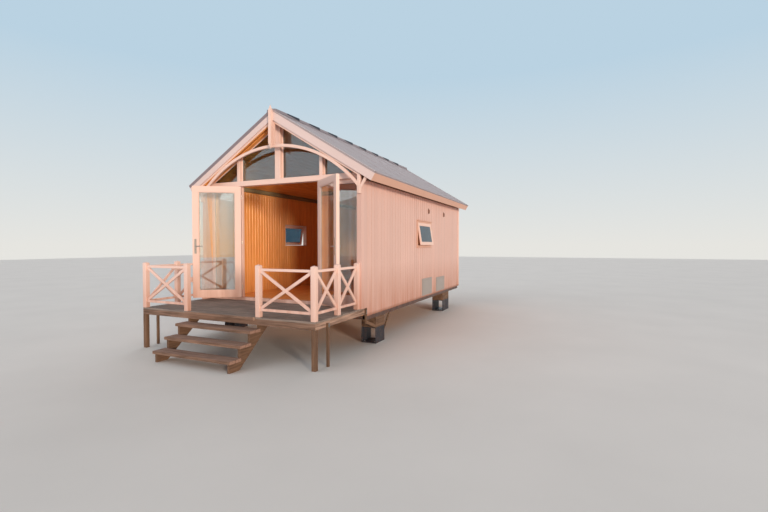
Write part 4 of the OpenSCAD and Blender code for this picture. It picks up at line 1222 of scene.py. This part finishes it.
class HUT_OT_stage(bpy.types.Operator):
    """Set the floor, the light and the camera"""

    bl_idname = "hut.stage"
    bl_label = "Stage"

    # Each lamp: the way round from the front to the right, its height in degrees, its spread, power and tint
    lamps = {
        "key": (52.0, 6.0, 10.0, 2.6, (1.0, 0.80, 0.62)),
        "fill": (-38.0, 35.0, 60.0, 0.7, (0.95, 0.97, 1.0)),
        "back": (200.0, 30.0, 60.0, 0.7, (0.97, 0.98, 1.0)),
    }
    # Soft light from all round: its colour and its strength
    ambient = ((0.90, 0.95, 1.0, 1.0), 0.38)
    # The way to the glow that mirrors see, and how nearly a mirror has to look that way to see any of it
    glow_way, glow_from = (0.788, -0.616, 0.0), 0.2
    # How high the backdrop's bands reach, as shares of straight up
    dusk_top, sky_top = 0.13, 0.36
    # Half the width of the floor, and how far off the lamps are drawn
    floor_half, lamp_far = 60, 20
    # The photograph's camera: its place, its tilt down and its turn in degrees, and its lens
    view_place, view_tilt, view_turn, focal_mm = (5.233, -8.880, 1.827), 1.426, 24.29, 20.006

    def execute(self, context):
        scene = context.scene
        bm = bmesh.new()
        bmesh.ops.create_grid(bm, x_segments=1, y_segments=1, size=self.floor_half)
        ground = bpy.data.objects.new("stage_floor", finished_mesh("stage_floor", bm))
        scene.collection.objects.link(ground)
        made, tree, place = shade("matt studio floor")
        tone = scene.hut_colours.ground
        base = layered(tree, rgba(tone), (patches(tree, place, 0.6, 0.3, 0.7), rgba(tone, 0.95)))
        shader = add(tree, "ShaderNodeBsdfPrincipled", {"Base Color": base, "Roughness": 0.9})
        add(tree, "ShaderNodeOutputMaterial", {"Surface": shader})
        ground.data.materials.append(made)
        self.world(scene)
        self.light(scene)
        self.camera(scene)
        scene.view_settings.view_transform = "Standard"
        return {"FINISHED"}

    def world(self, scene):
        """Soft light from all round, and a pale backdrop that mirrors and glass see with a warm glow."""
        tones = scene.hut_colours
        scene.world = bpy.data.worlds.new("studio")
        scene.world.use_nodes = True
        tree = scene.world.node_tree
        tree.nodes.clear()
        place = add(tree, "ShaderNodeTexCoord").outputs["Generated"]
        height = add(tree, "ShaderNodeSeparateXYZ", {"Vector": place}).outputs["Z"]
        up = add(tree, "ShaderNodeMapRange", {"Value": height, "From Max": self.sky_top})
        facing = add(tree, "ShaderNodeVectorMath", {0: place, 1: self.glow_way}, operation="DOT_PRODUCT")
        warm = add(tree, "ShaderNodeMapRange", {
            "Value": facing.outputs["Value"], "From Min": self.glow_from})
        dusk = add(tree, "ShaderNodeMapRange", {"Value": height, "From Max": self.dusk_top})
        glow = layered(tree, rgba(tones.dusk), (dusk, rgba(tones.haze)))
        rays = add(tree, "ShaderNodeLightPath").outputs
        mirrored = add(tree, "ShaderNodeMath", {0: warm, 1: rays["Is Glossy Ray"]}, operation="MULTIPLY")
        sky = layered(tree, rgba(tones.horizon), (mirrored, glow), (up, rgba(tones.sky)))
        seen = rays["Is Camera Ray"]
        for kind in ("Is Transmission Ray", "Is Glossy Ray"):
            seen = add(tree, "ShaderNodeMath", {0: seen, 1: rays[kind]}, operation="MAXIMUM")
        tint, strength = self.ambient
        soft = add(tree, "ShaderNodeBackground", {"Color": tint, "Strength": strength})
        backdrop = add(tree, "ShaderNodeBackground", {"Color": sky, "Strength": 1.0})
        both = add(tree, "ShaderNodeMixShader", {0: seen, 1: soft, 2: backdrop})
        add(tree, "ShaderNodeOutputWorld", {"Surface": both})

    def light(self, scene):
        """A low warm lamp on the front and the right side, and two wide soft ones."""
        for name, (turn, height, spread, power, tint) in self.lamps.items():
            lamp = bpy.data.lights.new(name, "SUN")
            lamp.angle = math.radians(spread)
            lamp.energy = power
            lamp.color = tint
            made = bpy.data.objects.new(name, lamp)
            turn, up = math.radians(turn), math.radians(height)
            source = Vector((math.sin(turn) * math.cos(up), -math.cos(turn) * math.cos(up), math.sin(up)))
            made.location = source * self.lamp_far
            made.rotation_euler = source.to_track_quat("Z", "Y").to_euler()
            scene.collection.objects.link(made)

    def camera(self, scene):
        """The photograph's place and lens."""
        lens = bpy.data.cameras.new("camera")
        lens.sensor_width = 36.0
        lens.lens = self.focal_mm
        lens.clip_end = 200.0
        made = bpy.data.objects.new("camera", lens)
        made.location = self.view_place
        made.rotation_euler = (math.radians(90 - self.view_tilt), 0.0, math.radians(self.view_turn))
        scene.collection.objects.link(made)
        scene.camera = made


class HUT_PT_panel(bpy.types.Panel):
    """Sizes, colours and steps of the beach hut"""

    bl_idname = "HUT_PT_panel"
    bl_label = "Beach Hut"
    bl_space_type = "VIEW_3D"
    bl_region_type = "UI"
    bl_category = "Beach Hut"

    def draw(self, context):
        for group in (context.scene.hut_sizes, context.scene.hut_colours):
            for name in group.__annotations__:
                self.layout.prop(group, name)
        for step in STEPS:
            self.layout.operator(step.bl_idname)


STEPS = [
    HUT_OT_trim, HUT_OT_walls, HUT_OT_roof, HUT_OT_deck, HUT_OT_glazing, HUT_OT_doors, HUT_OT_windows,
    HUT_OT_fixings, HUT_OT_stage,
]
CLASSES = [HutSizes, HutColours, *STEPS, HUT_PT_panel]


def register():
    for made in CLASSES:
        bpy.utils.register_class(made)
    bpy.types.Scene.hut_sizes = bpy.props.PointerProperty(type=HutSizes)
    bpy.types.Scene.hut_colours = bpy.props.PointerProperty(type=HutColours)


def unregister():
    del bpy.types.Scene.hut_sizes
    del bpy.types.Scene.hut_colours
    for made in reversed(CLASSES):
        bpy.utils.unregister_class(made)


def main():
    register()
    for step in STEPS:
        getattr(bpy.ops.hut, step.bl_idname.split(".")[1])()


if __name__ == "__main__":
    main()
